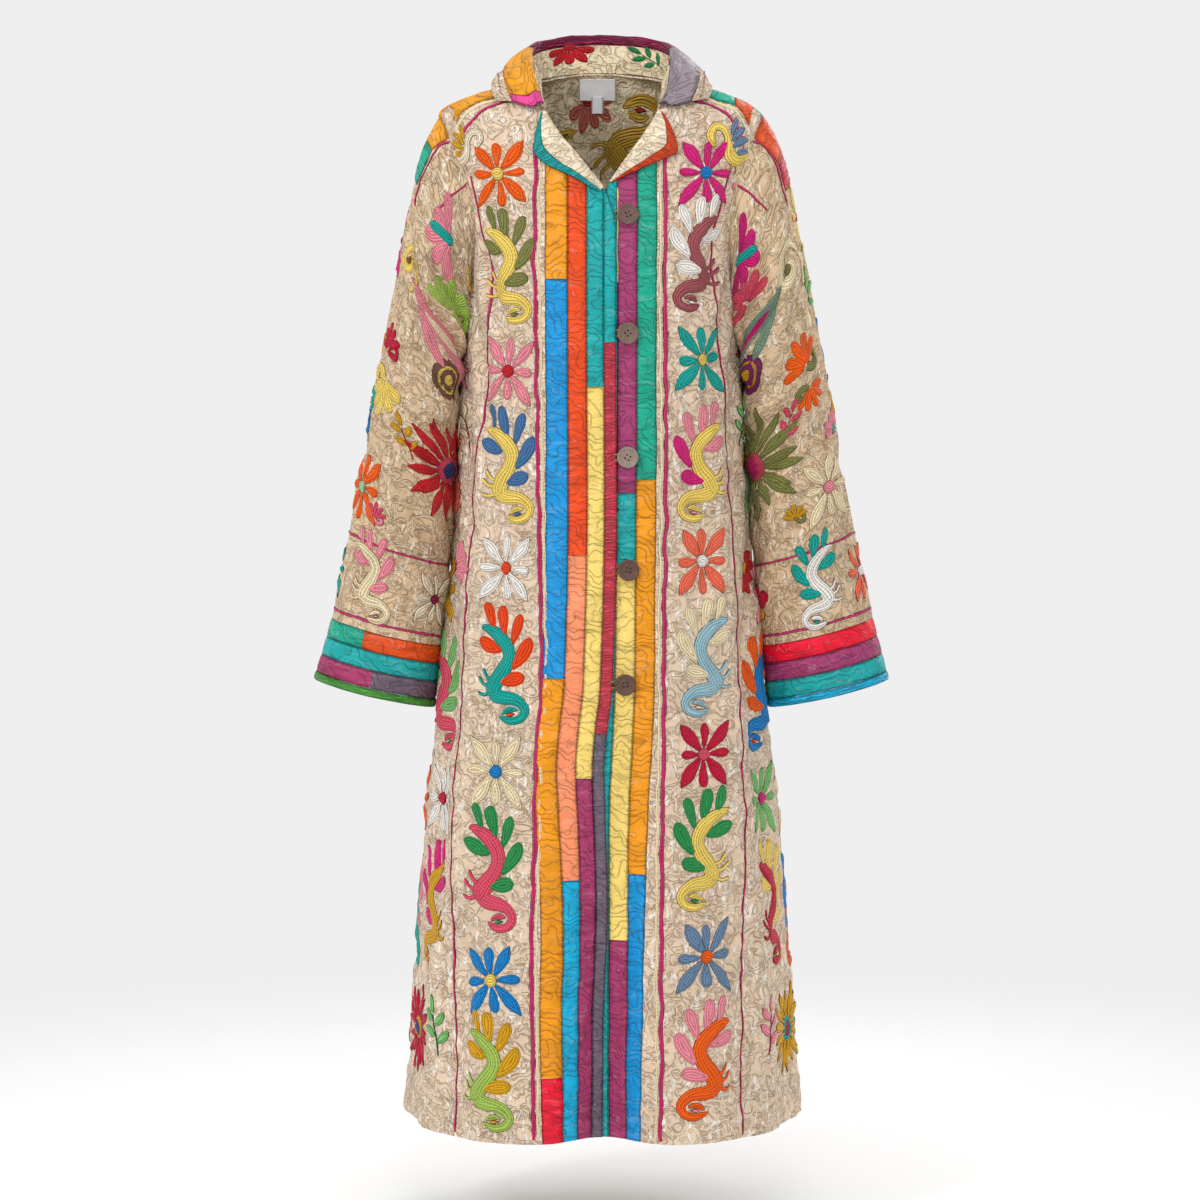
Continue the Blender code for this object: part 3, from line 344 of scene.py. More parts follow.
# %% creased cloth
def troughs(table, across, along, seed):
    """The depth of a table of soft, uneven troughs at places across and along the cloth."""
    total = np.zeros(np.broadcast(across, along).shape)
    rng = np.random.default_rng(seed)
    for row in table:
        f = dict(zip(CREASE_COLUMNS, row))
        sway, phase = rng.uniform(0.002, 0.006), rng.uniform(0, 6.28)
        share = (along - f["z_top"]) / (f["z_low"] - f["z_top"])
        line = f["run_top"] + (f["run_low"] - f["run_top"]) * share + sway * np.sin(share * 7 + phase)
        window = ease(share, -0.12, 0.25) * (1 - ease(share, 0.65, 1.08))
        near = (across - line) / f["width"]
        total = total - f["depth"] * window * np.exp(-near * near)
        total = total + 0.45 * f["depth"] * window * np.exp(-((np.abs(near) - 1.9) ** 2))
    return total


def ripple(x, y, size, seed, waves=9, stretch=1.0):
    """A soft random swell between about -1 and 1, with features of about this size."""
    rng = np.random.default_rng(seed)
    total = np.zeros(np.broadcast(x, y).shape)
    for _ in range(waves):
        turn, phase, scale = rng.uniform(0, 6.283), rng.uniform(0, 6.283), rng.uniform(0.7, 1.6)
        total = total + np.sin((x * math.cos(turn) * stretch + y * math.sin(turn)) * 6.283
                               / (size * scale) + phase)
    return total / (1.25 * math.sqrt(waves))


def puckers(x, y, seed):
    """The small puckers of quilted cloth, in metres."""
    swell = ripple(x, y, 0.085, seed, 7)
    soft = ripple(x, y, 0.034, seed + 1, 11)
    fine = 1 - np.abs(ripple(x, y, 0.017, seed + 2, 11))
    return 0.0015 * swell + 0.00115 * soft + 0.0007 * fine


def body_cloth(side, run, z, lift):
    """A point of the creased cloth, found by its distance from centre front and its height."""
    run, z = np.broadcast_arrays(np.asarray(run, float), np.asarray(z, float))
    angle = angle_from_run(side, run, z)
    whole = run_from_angle(side, 180.0, z)
    back = ease(angle, 84, 96)
    calm = 1 - ease(z, -0.040, -0.008)
    aside = 0.006 if side > 0 else 0.0
    creases = troughs(FRONT_CREASES, run + aside, z - 0.02 * (side > 0), 3 + side)
    behind = troughs(BACK_CREASES, whole - run, z - 0.015 * (side > 0), 9)
    behind = behind + troughs(BACK_CREASES, run - whole, z, 9)
    cloth = creases * (1 - back) + behind * back
    fade = 0.25 + 0.75 * ease(np.abs(run), 0.030, 0.085)
    seam = np.where(back > 0.5, armhole_angle(z, True), armhole_angle(z))
    by_arm = ease(z, UNDERARM - 0.012, UNDERARM + 0.01) * (1 - ease(z, -0.052, -0.040))
    valley = 0.0010 * np.exp(-(((angle - seam) / 3.6) ** 2)) * by_arm
    total = (cloth * fade + puckers(side * run, z, 21) * (1 - 0.3 * (1 - fade))) * (0.35 + 0.65 * calm)
    at_seam = by_arm * np.exp(-(((angle - seam) / 7.0) ** 2))
    total = total * (1 - at_seam) - valley
    return body_offset(side, angle, z, total + lift)


print("deepest small crease:", max(r[4] for r in FRONT_CREASES + BACK_CREASES), "m")

# %% [markdown]
# ## The sleeve
# The sleeve starts as the armhole's own saddle-shaped ring and becomes a plain tilted tube.
# An angle of 0 is its outside and 90 its front, and t runs from the armhole to the cuff.

# %% the sleeve's surface
PUCKER_RING = 0.11
SLEEVE_CREASE_COLUMNS = ("angle", "t", "reach_deg", "drop", "depth", "width")
SLEEVE_CREASES = (
    (150.0, 0.47, 62.0, -0.02, 0.0066, 0.019), (140.0, 0.57, 58.0, 0.03, 0.006, 0.018),
    (160.0, 0.36, 60.0, -0.05, 0.0072, 0.02), (205.0, 0.5, 55.0, 0.02, 0.0064, 0.019),
    (215.0, 0.4, 60.0, -0.03, 0.0058, 0.02), (120.0, 0.7, 60.0, 0.05, 0.004, 0.024),
    (60.0, 0.22, 46.0, 0.06, 0.0036, 0.024), (300.0, 0.26, 50.0, 0.06, 0.0036, 0.026),
    (20.0, 0.6, 50.0, -0.06, 0.0028, 0.028), (112.0, 0.2, 34.0, 0.1, 0.0066, 0.022),
    (128.0, 0.28, 44.0, 0.05, 0.006, 0.018), (146.0, 0.76, 50.0, -0.03, 0.004, 0.018),
)
SLEEVE_SWELL = (
    (0.0, 0.0), (0.1, 0.0034), (0.21, 0.0088), (0.29, 0.0074), (0.38, 0.007), (0.46, 0.0072),
    (0.55, 0.0058), (0.61, 0.0054), (0.66, 0.0066), (0.77, 0.007), (0.86, 0.0062), (0.92, 0.0086),
    (1.0, 0.01),
)
SLEEVE_OVERLAP = (
    (0.0, 0.0), (0.04, 0.004), (0.09, 0.013), (0.18, 0.022), (0.28, 0.019), (0.38, 0.01), (0.5, 0.0),
)


def armhole_point(side, angle, grow=1.0):
    turn = np.radians(angle)
    reach = np.where(np.sin(turn) >= 0, ARMHOLE_FRONT_DEG, ARMHOLE_BACK_DEG) * grow
    return body_point(side, 90 - reach * np.sin(turn), ARM_MIDDLE + ARM_HALF * grow * np.cos(turn))


def sleeve_tube(side, angle, t):
    value = {n: column(SLEEVE_ROWS, SLEEVE_COLUMNS, n, t) for n in SLEEVE_COLUMNS[1:]}
    c, s = np.cos(np.radians(angle)), np.sin(np.radians(angle))
    x = (value["outer_x"] + value["under_x"]) / 2 + (value["outer_x"] - value["under_x"]) / 2 * c
    z = (value["outer_z"] + value["under_z"]) / 2 + (value["outer_z"] - value["under_z"]) / 2 * c
    return np.stack([side * x, value["middle_y"] - value["half_depth"] * s, z], axis=-1)


def sleeve_smooth(side, angle, t):
    """The sleeve without creases. It rests against the body and laps over its side near the armhole."""
    angle, t = np.broadcast_arrays(np.asarray(angle, float), np.asarray(t, float))
    tuck, t = np.maximum(0.0, -t), np.maximum(0.0, t)
    fade = (1 - ease(t, 0.0, 0.22))[..., None]
    made = sleeve_tube(side, angle, t) + fade * (
        armhole_point(side, angle, 1 + 3.6 * tuck) - sleeve_tube(side, angle, np.zeros_like(t)))
    turn = np.mod(angle, 360.0)
    inner = np.maximum(0.0, -np.cos(np.radians(angle)))
    overlap = np.exp(-(((turn - 130) / 26) ** 2)) + 0.8 * np.exp(-(((turn - 230) / 26) ** 2))
    swell = inner * np.interp(t, *zip(*SLEEVE_SWELL))
    made[..., 0] -= side * (swell + overlap * np.interp(t, *zip(*SLEEVE_OVERLAP)))
    u, z = side * made[..., 0], made[..., 2]
    half = column(BODY_ROWS, BODY_COLUMNS, "half_width", z) * 0.999
    beside = angle_from_u(side, np.clip(u, 0.0, half), z)
    free = ease(t, 0.0, 0.06) * ((u < half) & (z < -0.06))
    for sign, at in ((-1, beside), (1, 180 - beside)):
        skin = body_point(side, at, z)[..., 1] + sign * 0.0032
        short = np.maximum(0.0, sign * (skin - made[..., 1])) * ((np.sin(np.radians(angle)) * sign) < 0)
        made[..., 1] += sign * short * free
    return made


def sleeve_cloth(side, angle, t, lift):
    """A point of the creased sleeve."""
    angle, t = np.broadcast_arrays(np.asarray(angle, float), np.asarray(t, float))
    wrapped = np.mod(angle, 360.0)
    depth = np.zeros(t.shape)
    for fold in SLEEVE_FOLDS:
        f = dict(zip(SLEEVE_FOLD_COLUMNS, fold))
        share = (t - f["t_top"]) / (f["t_low"] - f["t_top"])
        line = f["angle_top"] + (f["angle_low"] - f["angle_top"]) * share
        window = ease(share, -0.15, 0.25) * (1 - ease(share, 0.6, 1.1))
        depth = depth + f["depth"] * window * np.exp(-(((wrapped - line) / f["width_deg"]) ** 2))
    depth = depth * ease(t, 0.0, 0.06)
    for crease in SLEEVE_CREASES:
        f = dict(zip(SLEEVE_CREASE_COLUMNS, crease))
        round_it = (wrapped - f["angle"] + 180) % 360 - 180
        line = f["t"] + f["drop"] * round_it / 60 + 0.008 * np.sin(round_it / 17 + f["angle"] + side)
        window = np.exp(-((round_it / f["reach_deg"]) ** 4))
        near = (t - line) / f["width"]
        rims = 0.5 * np.exp(-((np.abs(near) - 1.8) ** 2))
        depth = depth + f["depth"] * window * (np.exp(-near * near) - rims)
    calm = ease(t, 0.0, 0.05) * (1 - 0.5 * ease(t, 0.88, 0.91))
    ring = np.cos(np.radians(angle)) * PUCKER_RING
    ring_y = np.sin(np.radians(angle)) * PUCKER_RING
    rough = puckers(ring + 0.4 * side, ring_y * 1.3 + t * SLEEVE_LENGTH, 47) * calm
    around = sleeve_smooth(side, angle + 0.5, t) - sleeve_smooth(side, angle - 0.5, t)
    along = sleeve_smooth(side, angle, t + 0.004) - sleeve_smooth(side, angle, t - 0.004)
    normal = unit(np.cross(around, along)) * side
    valley = 0.0006 * (1 - ease(t, 0.0, 0.035)) + (CLOTH + 0.0012) * ease(-t, 0.0, 0.010)
    depth = depth * (1 - 0.7 * np.maximum(0.0, -np.cos(np.radians(angle))) ** 3)
    amount = np.asarray(lift, float) + rough - valley - depth * (1 - 0.8 * ease(t, 0.86, 0.92))
    return sleeve_smooth(side, angle, t) + normal * amount[..., None]


CUFF_HALVES = (math.dist(SLEEVE_ROWS[-1][1:3], SLEEVE_ROWS[-1][3:5]) / 2, SLEEVE_ROWS[-1][5])
print("cuff round:", round(2 * math.pi * math.hypot(*CUFF_HALVES) / math.sqrt(2), 3), "m")

# %% [markdown]
# ## Colours by small sums
# Shader nodes are written as sums. `Wire` wraps one output socket, so that `a * 0.5 + b` makes
# the nodes that work it out, and `node` makes any other node from its type, settings and inputs.

# %% the shader helper
def linear(code):
    """A screen colour such as d9a441, as the shader's own red, green and blue."""
    parts = [int(code[i:i + 2], 16) / 255 for i in (0, 2, 4)]
    return tuple(p / 12.92 if p <= 0.04045 else ((p + 0.055) / 1.055) ** 2.4 for p in parts)


def deep(code, push=1.08):
    """A dye a little stronger than its code, because studio light pales it."""
    colour = linear(code)
    middle = sum(colour) / 3
    return tuple(min(1.0, max(0.0, middle + (c - middle) * push)) for c in colour)


class Wire:
    """One output socket, with sums that build the nodes for them."""

    def __init__(self, tree, socket):
        self.tree, self.socket = tree, socket

    @staticmethod
    def plug(tree, socket, value):
        if isinstance(value, Wire):
            tree.links.new(value.socket, socket)
        elif isinstance(value, (tuple, list)) and len(value) == 3 and socket.type == "RGBA":
            socket.default_value = (*value, 1.0)
        elif value is not None:
            socket.default_value = value

    def node(self, kind, settings=None, inputs=None, out=0):
        made = self.tree.nodes.new("ShaderNode" + kind)
        for name, value in (settings or {}).items():
            setattr(made, name, value)
        for name, value in (inputs or {}).items():
            self.plug(self.tree, made.inputs[name], value)
        return Wire(self.tree, made.outputs[out])

    def maths(self, operation, first, second=None, third=None):
        return self.node("Math", {"operation": operation}, {0: first, 1: second, 2: third})

    def __add__(self, other):
        return self.maths("ADD", self, other)

    def __sub__(self, other):
        return self.maths("SUBTRACT", self, other)

    def __mul__(self, other):
        return self.maths("MULTIPLY", self, other)

    def __rsub__(self, other):
        return self.maths("SUBTRACT", other, self)

    __radd__ = __add__
    __rmul__ = __mul__

    def step(self, low, high):
        """0 below low, 1 above high, and smooth between."""
        return self.node("MapRange", {"interpolation_type": "SMOOTHSTEP"},
                         {"Value": self, "From Min": low, "From Max": high})

    def blend(self, first, second):
        """Mixes two colours by this amount."""
        made = self.tree.nodes.new("ShaderNodeMix")
        made.data_type = "RGBA"
        self.plug(self.tree, made.inputs[0], self)
        self.plug(self.tree, made.inputs[6], first)
        self.plug(self.tree, made.inputs[7], second)
        return Wire(self.tree, made.outputs[2])

    def noise(self, place, scale, detail=2.0, roughness=0.5, distortion=0.0):
        return self.node("TexNoise", {"noise_dimensions": "3D"}, {
            "Vector": place, "Scale": scale, "Detail": detail, "Roughness": roughness,
            "Distortion": distortion})

    def stretched(self, place, across, along, extra=0.0):
        return self.node("Mapping", {}, {
            "Vector": place, "Scale": (across, along, 1.0), "Rotation": (0.0, 0.0, extra)})

    def waves(self, place, scale, distortion, detail_scale, direction="Y"):
        return self.node("TexWave", {"bands_direction": direction}, {
            "Vector": place, "Scale": scale, "Distortion": distortion, "Detail": 2.0,
            "Detail Scale": detail_scale}, out=1)


print("beige in linear light:", [round(c, 3) for c in linear("e2c9ae")])


# %% starting and finishing a material
def material(name, roughness, sheen=0.0):
    """An empty material with its shader, and a Wire to build on."""
    made = bpy.data.materials.new(name)
    made.use_nodes = True
    shader = made.node_tree.nodes["Principled BSDF"]
    shader.inputs["Roughness"].default_value = roughness
    shader.inputs["Sheen Weight"].default_value = sheen
    shader.inputs["Sheen Roughness"].default_value = 0.4
    shader.inputs["Specular IOR Level"].default_value = 0.2
    return made, shader, Wire(made.node_tree, None)


def finish_material(tools, shader, colour, height=None, distance=0.001, strength=1.0, roughness=None):
    Wire.plug(tools.tree, shader.inputs["Base Color"], colour)
    if roughness is not None:
        Wire.plug(tools.tree, shader.inputs["Roughness"], roughness)
    if height is not None:
        bump = tools.node("Bump", {}, {
            "Strength": strength, "Distance": distance, "Height": height})
        Wire.plug(tools.tree, shader.inputs["Normal"], bump)


print("shader helper ready")

# %% [markdown]
# ## The materials
# The ground is beige cotton with pale slubs and many small stitched puckers. The patchwork is a
# finer cotton with a slight shine and pressed wrinkles. Thread lies in rows that follow each
# shape's outline. All of them use the cloth's own coordinates, in metres.
# Their darkening in creases, grooves, tucks and seams is painted shade, and the lightening on wrinkle and
# thread crests is painted highlight.

# %% cloth materials
def ground_material(name, base, pale, dark):
    made, shader, w = material(name, 0.9, 0.04)
    place = w.node("UVMap", {"uv_map": "cloth"})
    broad = w.noise(place, 11.0, 3.0, 0.6)
    blotch = w.noise(place, 46.0, 3.0, 0.55, 0.8)
    one_way = w.noise(w.stretched(place, 2.2, 0.9, 0.35), 66.0, 1.5, 0.5, 0.7)
    other_way = w.noise(w.stretched(place, 2.1, 0.8, -0.6), 60.0, 1.5, 0.5, 0.7)
    flecks = w.maths("MAXIMUM", one_way.step(0.57, 0.65), other_way.step(0.61, 0.68))
    pucker = w.noise(w.stretched(place, 1.0, 1.25, 0.3), 44.0, 2.0, 0.5, 2.0)
    fold = 1.0 - (w.maths("ABSOLUTE", pucker - 0.5) * 2.0).step(0.0, 0.13)
    weave = w.noise(place, 950.0, 1.0)
    colour = broad.step(0.36, 0.64).blend(base, tuple(0.88 * c for c in base))
    colour = (blotch.step(0.44, 0.70) * 0.26).blend(colour, dark)
    # painted shade: the cloth is darkened along the pucker troughs (fold); the blotches above darken it at
    # random
    colour = (fold * blotch.step(0.40, 0.62) * 0.40).blend(colour, dark)
    colour = (flecks * 0.62).blend(colour, pale)
    height = pucker * 1.7 - fold * 0.6 + flecks * 0.3 - blotch * 0.4 + weave * 0.04
    finish_material(w, shader, colour, height, 0.0030)
    return made


def patch_material(name, colour, shine=0.3, ribs=0.0, wrinkle=1.0):
    """Fine cotton with a slight shine; ribs are the gathers across a binding. Painted shade and painted
    highlights follow its wrinkles, tucks, ribs and seams.
    """
    made, shader, w = material(name, 0.5)
    shader.inputs["Specular IOR Level"].default_value = shine
    place = w.node("UVMap", {"uv_map": "cloth"})
    long = w.waves(w.stretched(place, 1.0, 1.0, 0.25), 13.0, 12.0, 2.1)
    ridge = w.maths("ABSOLUTE", long - 0.5) * 2.0
    cross = w.noise(w.stretched(place, 0.55, 1.9, 0.2), 60.0, 3.0, 0.6, 1.1)
    broad = w.noise(place, 26.0, 2.0)
    edge = w.node("Attribute", {"attribute_name": "edge"}, out=2)
    weave = w.noise(place, 1300.0, 1.0)
    seam = 1.0 - edge.step(0.0, 0.0016)
    light = 1.0 - ridge.step(0.0, 0.20)
    # dark is the painted shade colour of this cloth and bright its painted highlight colour
    dark = tuple(c * 0.42 for c in colour)
    bright = tuple(min(1.0, c * 0.80 + 0.16) for c in colour)
    along = w.node("SeparateXYZ", {}, {"Vector": place}, out=1)
    tucks = w.noise(w.stretched(place, 0.12, 1.0), 420.0, 1.0) * (1.0 - edge.step(0.0012, 0.0060))
    tint = (broad.step(0.38, 0.66) * 0.5).blend(colour, tuple(c * 0.72 for c in colour))
    # painted highlights on the raised wrinkles and welts, painted shade in their hollows and in the sunk
    # tucks near the seams; the broad tint above varies at random
    tint = (cross.step(0.54, 0.70) * 0.38 * wrinkle).blend(tint, bright)
    tint = ((1.0 - cross.step(0.32, 0.46)) * 0.6 * wrinkle).blend(tint, dark)
    tint = (light * 0.42 * wrinkle).blend(tint, bright)
    tint = (tucks.step(0.45, 0.62) * 0.7 * wrinkle).blend(tint, dark)
    height = (1.0 - ridge.step(0.0, 0.42)) * (0.8 * wrinkle) + cross * 1.3 * wrinkle + weave * 0.05
    height = height - tucks * (0.9 * wrinkle)
    if ribs:
        wavy = along + (w.noise(w.stretched(place, 0.7, 1.0), 75.0) - 0.5) * (3.6 / ribs)
        depth = w.noise(w.stretched(place, 0.3, 1.0), 150.0, 1.0).step(0.30, 0.66)
        rib = w.maths("SINE", wavy * (ribs * 6.283)) * (depth * 0.28 + 0.22) + 0.5
        # painted shade in the troughs between the gathered ribs, painted highlight on their crests
        tint = ((1.0 - rib.step(0.0, 0.55)) * 0.62).blend(tint, dark)
        tint = (rib.step(0.75, 1.0) * 0.25).blend(tint, bright)
        height = height * 0.5 + rib * 1.3
    # painted shade: the cloth is darkened in the sunk valley along each seam
    tint = (seam * 0.62).blend(tint, tuple(c * 0.32 for c in colour))
    finish_material(w, shader, tint, height - seam * 0.8, 0.0018)
    return made


def thread_material(name):
    """Rows of chain stitch that follow a shape's outline, with painted shade between them and a painted glint
    on them. Each shape brings its own dye.
    """
    made, shader, w = material(name, 0.62, 0.05)
    place = w.node("UVMap", {"uv_map": "thread"})
    dye = w.node("Attribute", {"attribute_name": "dye"})
    across = w.node("SeparateXYZ", {}, {"Vector": place}, out=0)
    along = w.node("SeparateXYZ", {}, {"Vector": place}, out=1)
    row = w.maths("ABSOLUTE", w.maths("SINE", across * (3.1416 / ROW_PITCH)))
    link = w.maths("SINE", along * (6.283 / LINK_PITCH) + row * 2.4) * 0.5 + 0.5
    groove = 1.0 - row.step(0.05, 0.70)
    rim = 1.0 - across.step(0.0005, 0.0019)
    fibre = w.noise(w.stretched(place, 3.0, 1.0), 420.0, 2.0)
    uneven = w.noise(w.stretched(place, 1.0, 0.15), 260.0, 1.0) - 0.5
    # painted shade in the grooves between rows and the gaps between links; the rim is partly a darker outline
    # row and partly painted shadow at the dome's edge; fibre and uneven rows are the thread's own tone
    painted_shade_and_tone = groove * 0.40 + (1.0 - link) * 0.09 + (fibre - 0.5) * 0.30 + uneven * 0.42 + rim * 0.86
    darker = w.node("Mix", {"data_type": "RGBA", "blend_type": "MULTIPLY"}, {
        0: 1.0, 6: dye, 7: (0.22, 0.17, 0.15)}, out=2)
    colour = painted_shade_and_tone.step(0.0, 1.0).blend(dye, darker)
    # painted glint: a highlight painted on the crests of the rows
    glint = (fibre.step(0.60, 0.78) * row * 0.20).blend(colour, (0.95, 0.93, 0.88))
    finish_material(w, shader, glint, row * 1.0 + link * 0.18 + fibre * 0.3, 0.0016)
    return made


print("ground, patchwork and thread surfaces ready")

# %% the dyes and looks
ROW_PITCH = 0.0030
LINK_PITCH = 0.0042
GROUND, SLEEVE_GROUND, REVERSE, CREAM = (
    ground_material(f"quilted_{name}", *(linear(code) for code in codes)) for name, codes in (
        # each ground gets a base, a pale slub colour and a dark colour, used for random blotches and for
        # painted shade in the pucker troughs
        ("beige", ("e2c9ae", "fbf2e6", "9c7b5b")), ("sleeve", ("d8bb98", "f2e4cd", "8a6a48")),
        # the reverse is lighter than the outer beige: painted light that brightens the shaded inside of the
        # coat
        ("reverse", ("ecd8b4", "f8ecd2", "a89068")), ("cream", ("ecd9bc", "fbf0dc", "a88a66"))))
THREAD = thread_material("chain_stitch")
DYES = {
    "marigold": "ec9a30", "blue": "0f93d2", "orange": "e8521c", "salmon": "f8976e", "cyan": "12aed6",
    "teal": "12a6a6", "yellow": "f4d67c", "burgundy": "a43c66", "crimson": "cf4252", "grey": "6c5d6c",
    "plum": "a23f6e", "green": "1fa488", "red": "e81c3c", "mustard": "e29a2a", "maroon": "8f2049",
    "mauve": "94868f", "magenta": "de4f94", "leaf": "4f9a40", "rust": "dc5420",
}
PATCH = {name: patch_material(f"cotton_{name}", deep(code)) for name, code in DYES.items()}
RIBBED = {name: patch_material(f"binding_{name}", deep(DYES[name]), 0.3, 290.0, 0.6)
          for name in ("teal", "orange", "maroon", "leaf", "cyan", "crimson")}
LABEL = patch_material("label_tape", linear("ffffff"), 0.3, 0.0, 0.08)
print("materials:", len(bpy.data.materials))

# %% [markdown]
# ## Cloth pieces
# Every piece of cloth is a thin closed shell: an outer grid of points, an inner one, and a rim.
# Its cut is also measured along its own rows.


def quads(grid, turned=False):
    """The four-sided faces between the points of a grid of point numbers."""
    faces = np.stack([grid[:-1, :-1], grid[:-1, 1:], grid[1:, 1:], grid[1:, :-1]], axis=-1)
    return faces.reshape(-1, 4)[:, ::-1] if turned else faces.reshape(-1, 4)


def put_in_scene(thing):
    bpy.context.scene.collection.objects.link(thing)
    return thing


def register(piece, nodes=()):
    """Makes a piece ride on the coat and stand for the solids it dresses."""
    put_in_scene(piece)
    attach(piece, "root")
    if nodes:
        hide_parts(*nodes)
    return piece


SMALLEST_SHEET = 0.0102


def shell(name, outer, inner, uv, look, nodes, slot, wrap=False, lining=None, edge=None, held="hung"):
    """A closed sheet of cloth between two grids of points. A wrapped one closes on itself."""
    rows, columns = outer.shape[:2]
    ids = np.arange(rows * columns).reshape(rows, columns)
    flat_uv = uv.reshape(-1, 2)
    uv_ids = np.arange(uv.shape[0] * uv.shape[1]).reshape(uv.shape[:2])
    if wrap:
        ids = np.concatenate([ids, ids[:, :1]], axis=1)
    back = ids + rows * columns

    groups = [(quads(ids), quads(uv_ids)), (quads(back, True), quads(uv_ids, True))]
    for row in (0, -1):
        pair = np.stack([ids[row], back[row]])
        groups.append((quads(pair, row == 0), quads(np.stack([uv_ids[row]] * 2), row == 0)))
    if not wrap:
        for end in (0, -1):
            pair = np.stack([ids[:, end], back[:, end]])
            groups.append((quads(pair, end == -1), quads(np.stack([uv_ids[:, end]] * 2), end == -1)))
    faces = np.concatenate([g[0] for g in groups])
    corners = np.concatenate([g[1] for g in groups])
    mesh = bpy.data.meshes.new(name)
    points = np.concatenate([outer.reshape(-1, 3), inner.reshape(-1, 3)])
    mesh.from_pydata(points.tolist(), [], faces.tolist())
    layer = mesh.uv_layers.new(name="cloth")
    layer.data.foreach_set("uv", flat_uv[corners.ravel()].ravel().astype(np.float32))
    if edge is not None:
        mark = mesh.attributes.new("edge", "FLOAT", "POINT")
        mark.data.foreach_set("value", np.concatenate([edge.ravel(), edge.ravel()]).astype(np.float32))
    mesh.materials.append(look)
    if lining is not None:
        mesh.materials.append(lining)
        which = np.zeros(len(faces), int)
        first = len(groups[0][0])
        which[first:first + len(groups[1][0])] = 1
        mesh.polygons.foreach_set("material_index", which)
    solid = bmesh.new()
    solid.from_mesh(mesh)
    bmesh.ops.recalc_face_normals(solid, faces=solid.faces)
    solid.to_mesh(mesh)
    solid.free()
    mesh.shade_smooth()
    mesh.set_sharp_from_angle(angle=math.radians(55))
    piece = register(bpy.data.objects.new(f"{name}_cloth", mesh), nodes)
    closed = np.concatenate([outer, outer[:, :1]], axis=1) if wrap else outer
    widths = np.linalg.norm(np.diff(closed, axis=1), axis=2).sum(axis=1)
    lengths = np.linalg.norm(np.diff(outer, axis=0), axis=2).sum(axis=0)
    sides = (closed[:-1, 1:] - closed[:-1, :-1], closed[1:, :-1] - closed[:-1, :-1])
    area = float(np.linalg.norm(np.cross(*sides), axis=-1).sum())
    length = max(float(lengths.max()), SMALLEST_SHEET)
    width = min(float(widths.max()), area / (0.4 * length))
    size = (max(SMALLEST_SHEET, width), length)
    min(area, size[0] * size[1] * 0.999)
    return piece


def body_shell(name, side, runs, heights, lifts, look, nodes, slot, thickness=CLOTH, lining=None,
               edge=None):
    """A sheet laid on the body, from distances round it, heights and lifts."""
    outer = body_cloth(side, runs, heights, lifts)
    inner = body_cloth(side, runs, heights, lifts - thickness)
    uv = np.stack([side * runs, heights], axis=-1)
    return shell(name, outer, inner, uv, look, nodes, slot, lining=lining, edge=edge)


def panel_heights():
    """Rows of points down the body, closer together at the armhole and the shoulder."""
    skirt = np.linspace(COAT_HEM, UNDERARM, 215)
    arm = ARM_MIDDLE - ARM_HALF * np.cos(math.pi * np.arange(1, 54) / 54)
    arm = arm[arm < -0.0445]
    return np.concatenate([skirt, arm, np.linspace(-0.0440, NECK_EDGE_Z, 20)])


CORNER = ARM_MIDDLE + ARM_HALF * math.cos(math.pi / 10)


def panel_edge(z, back=False):
    """The angle where a body panel ends: the side seam, the armhole or the shoulder strip."""
    side_seam = np.full_like(z, 90.0)
    strip = shoulder_strip_angle(np.maximum(z, CORNER), back)
    above = np.where(z < CORNER, armhole_angle(z, back), strip)
    return np.where(z < UNDERARM + 1e-6, side_seam, above)


print("rows down a panel:", len(panel_heights()))

# %% [markdown]
# ## The body: two fronts and the back

# %% body panels
RIGHT_STRIPS = (
    ("right_edge_binding", 0.000, 0.0140, BINDING, (COAT_HEM, -0.741, -0.300, 0.0),
     ("grey", "crimson", "teal")),
    ("right_border_inner", 0.0140, 0.0332, CLOTH, (COAT_HEM, -0.792, -0.350, 0.0),
     ("burgundy", "yellow", "teal")),
    ("right_border_middle", 0.0332, 0.0547, CLOTH, (COAT_HEM, -0.907, -0.540, 0.0),
     ("cyan", "salmon", "orange")),
    ("right_border_outer", 0.0547, 0.0807, CLOTH, (COAT_HEM, -1.127, -0.679, -0.229, 0.0),
     ("red", "marigold", "blue", "marigold")),
)
LEFT_STRIPS = (
    ("left_edge_binding", 0.000, 0.0135, BINDING, (COAT_HEM, 0.0), ("teal",)),
    ("left_border_inner", 0.0135, 0.0361, CLOTH, (COAT_HEM, -0.976, -0.550, -0.470, 0.0),
     ("burgundy", "yellow", "teal", "plum")),
    ("left_border_outer", 0.0361, 0.0587, CLOTH, (COAT_HEM, -0.900, -0.455, 0.0),
     ("blue", "marigold", "green")),
)
FRONT_POINTS, BACK_POINTS = 84, 74


def rolled_run(side, z):
    """Where the cloth turns back, as a distance along it."""
    return run_from_angle(side, angle_from_u(side, roll_line(side, z), z), z)


def sideways(side, runs, heights):
    return side * body_point(side, angle_from_run(side, runs, heights), heights)[..., 0]


def build_front(name, side, strips_width):
    z = panel_heights()
    first = np.maximum(edge_run(side, z) + strips_width + SEAM_GAP, rolled_run(side, z))
    last = run_from_angle(side, panel_edge(z), z) - SEAM_GAP / 2
    first = np.minimum(first, last - 0.002)
    share = np.linspace(0, 1, FRONT_POINTS)
    runs = first[:, None] + (last - first)[:, None] * share
    heights = np.repeat(z[:, None], FRONT_POINTS, axis=1)
    lifts = front_layer(side, sideways(side, runs, heights))
    return body_shell(name, side, runs, heights, lifts, GROUND, (name,), "ground_cloth", lining=REVERSE)


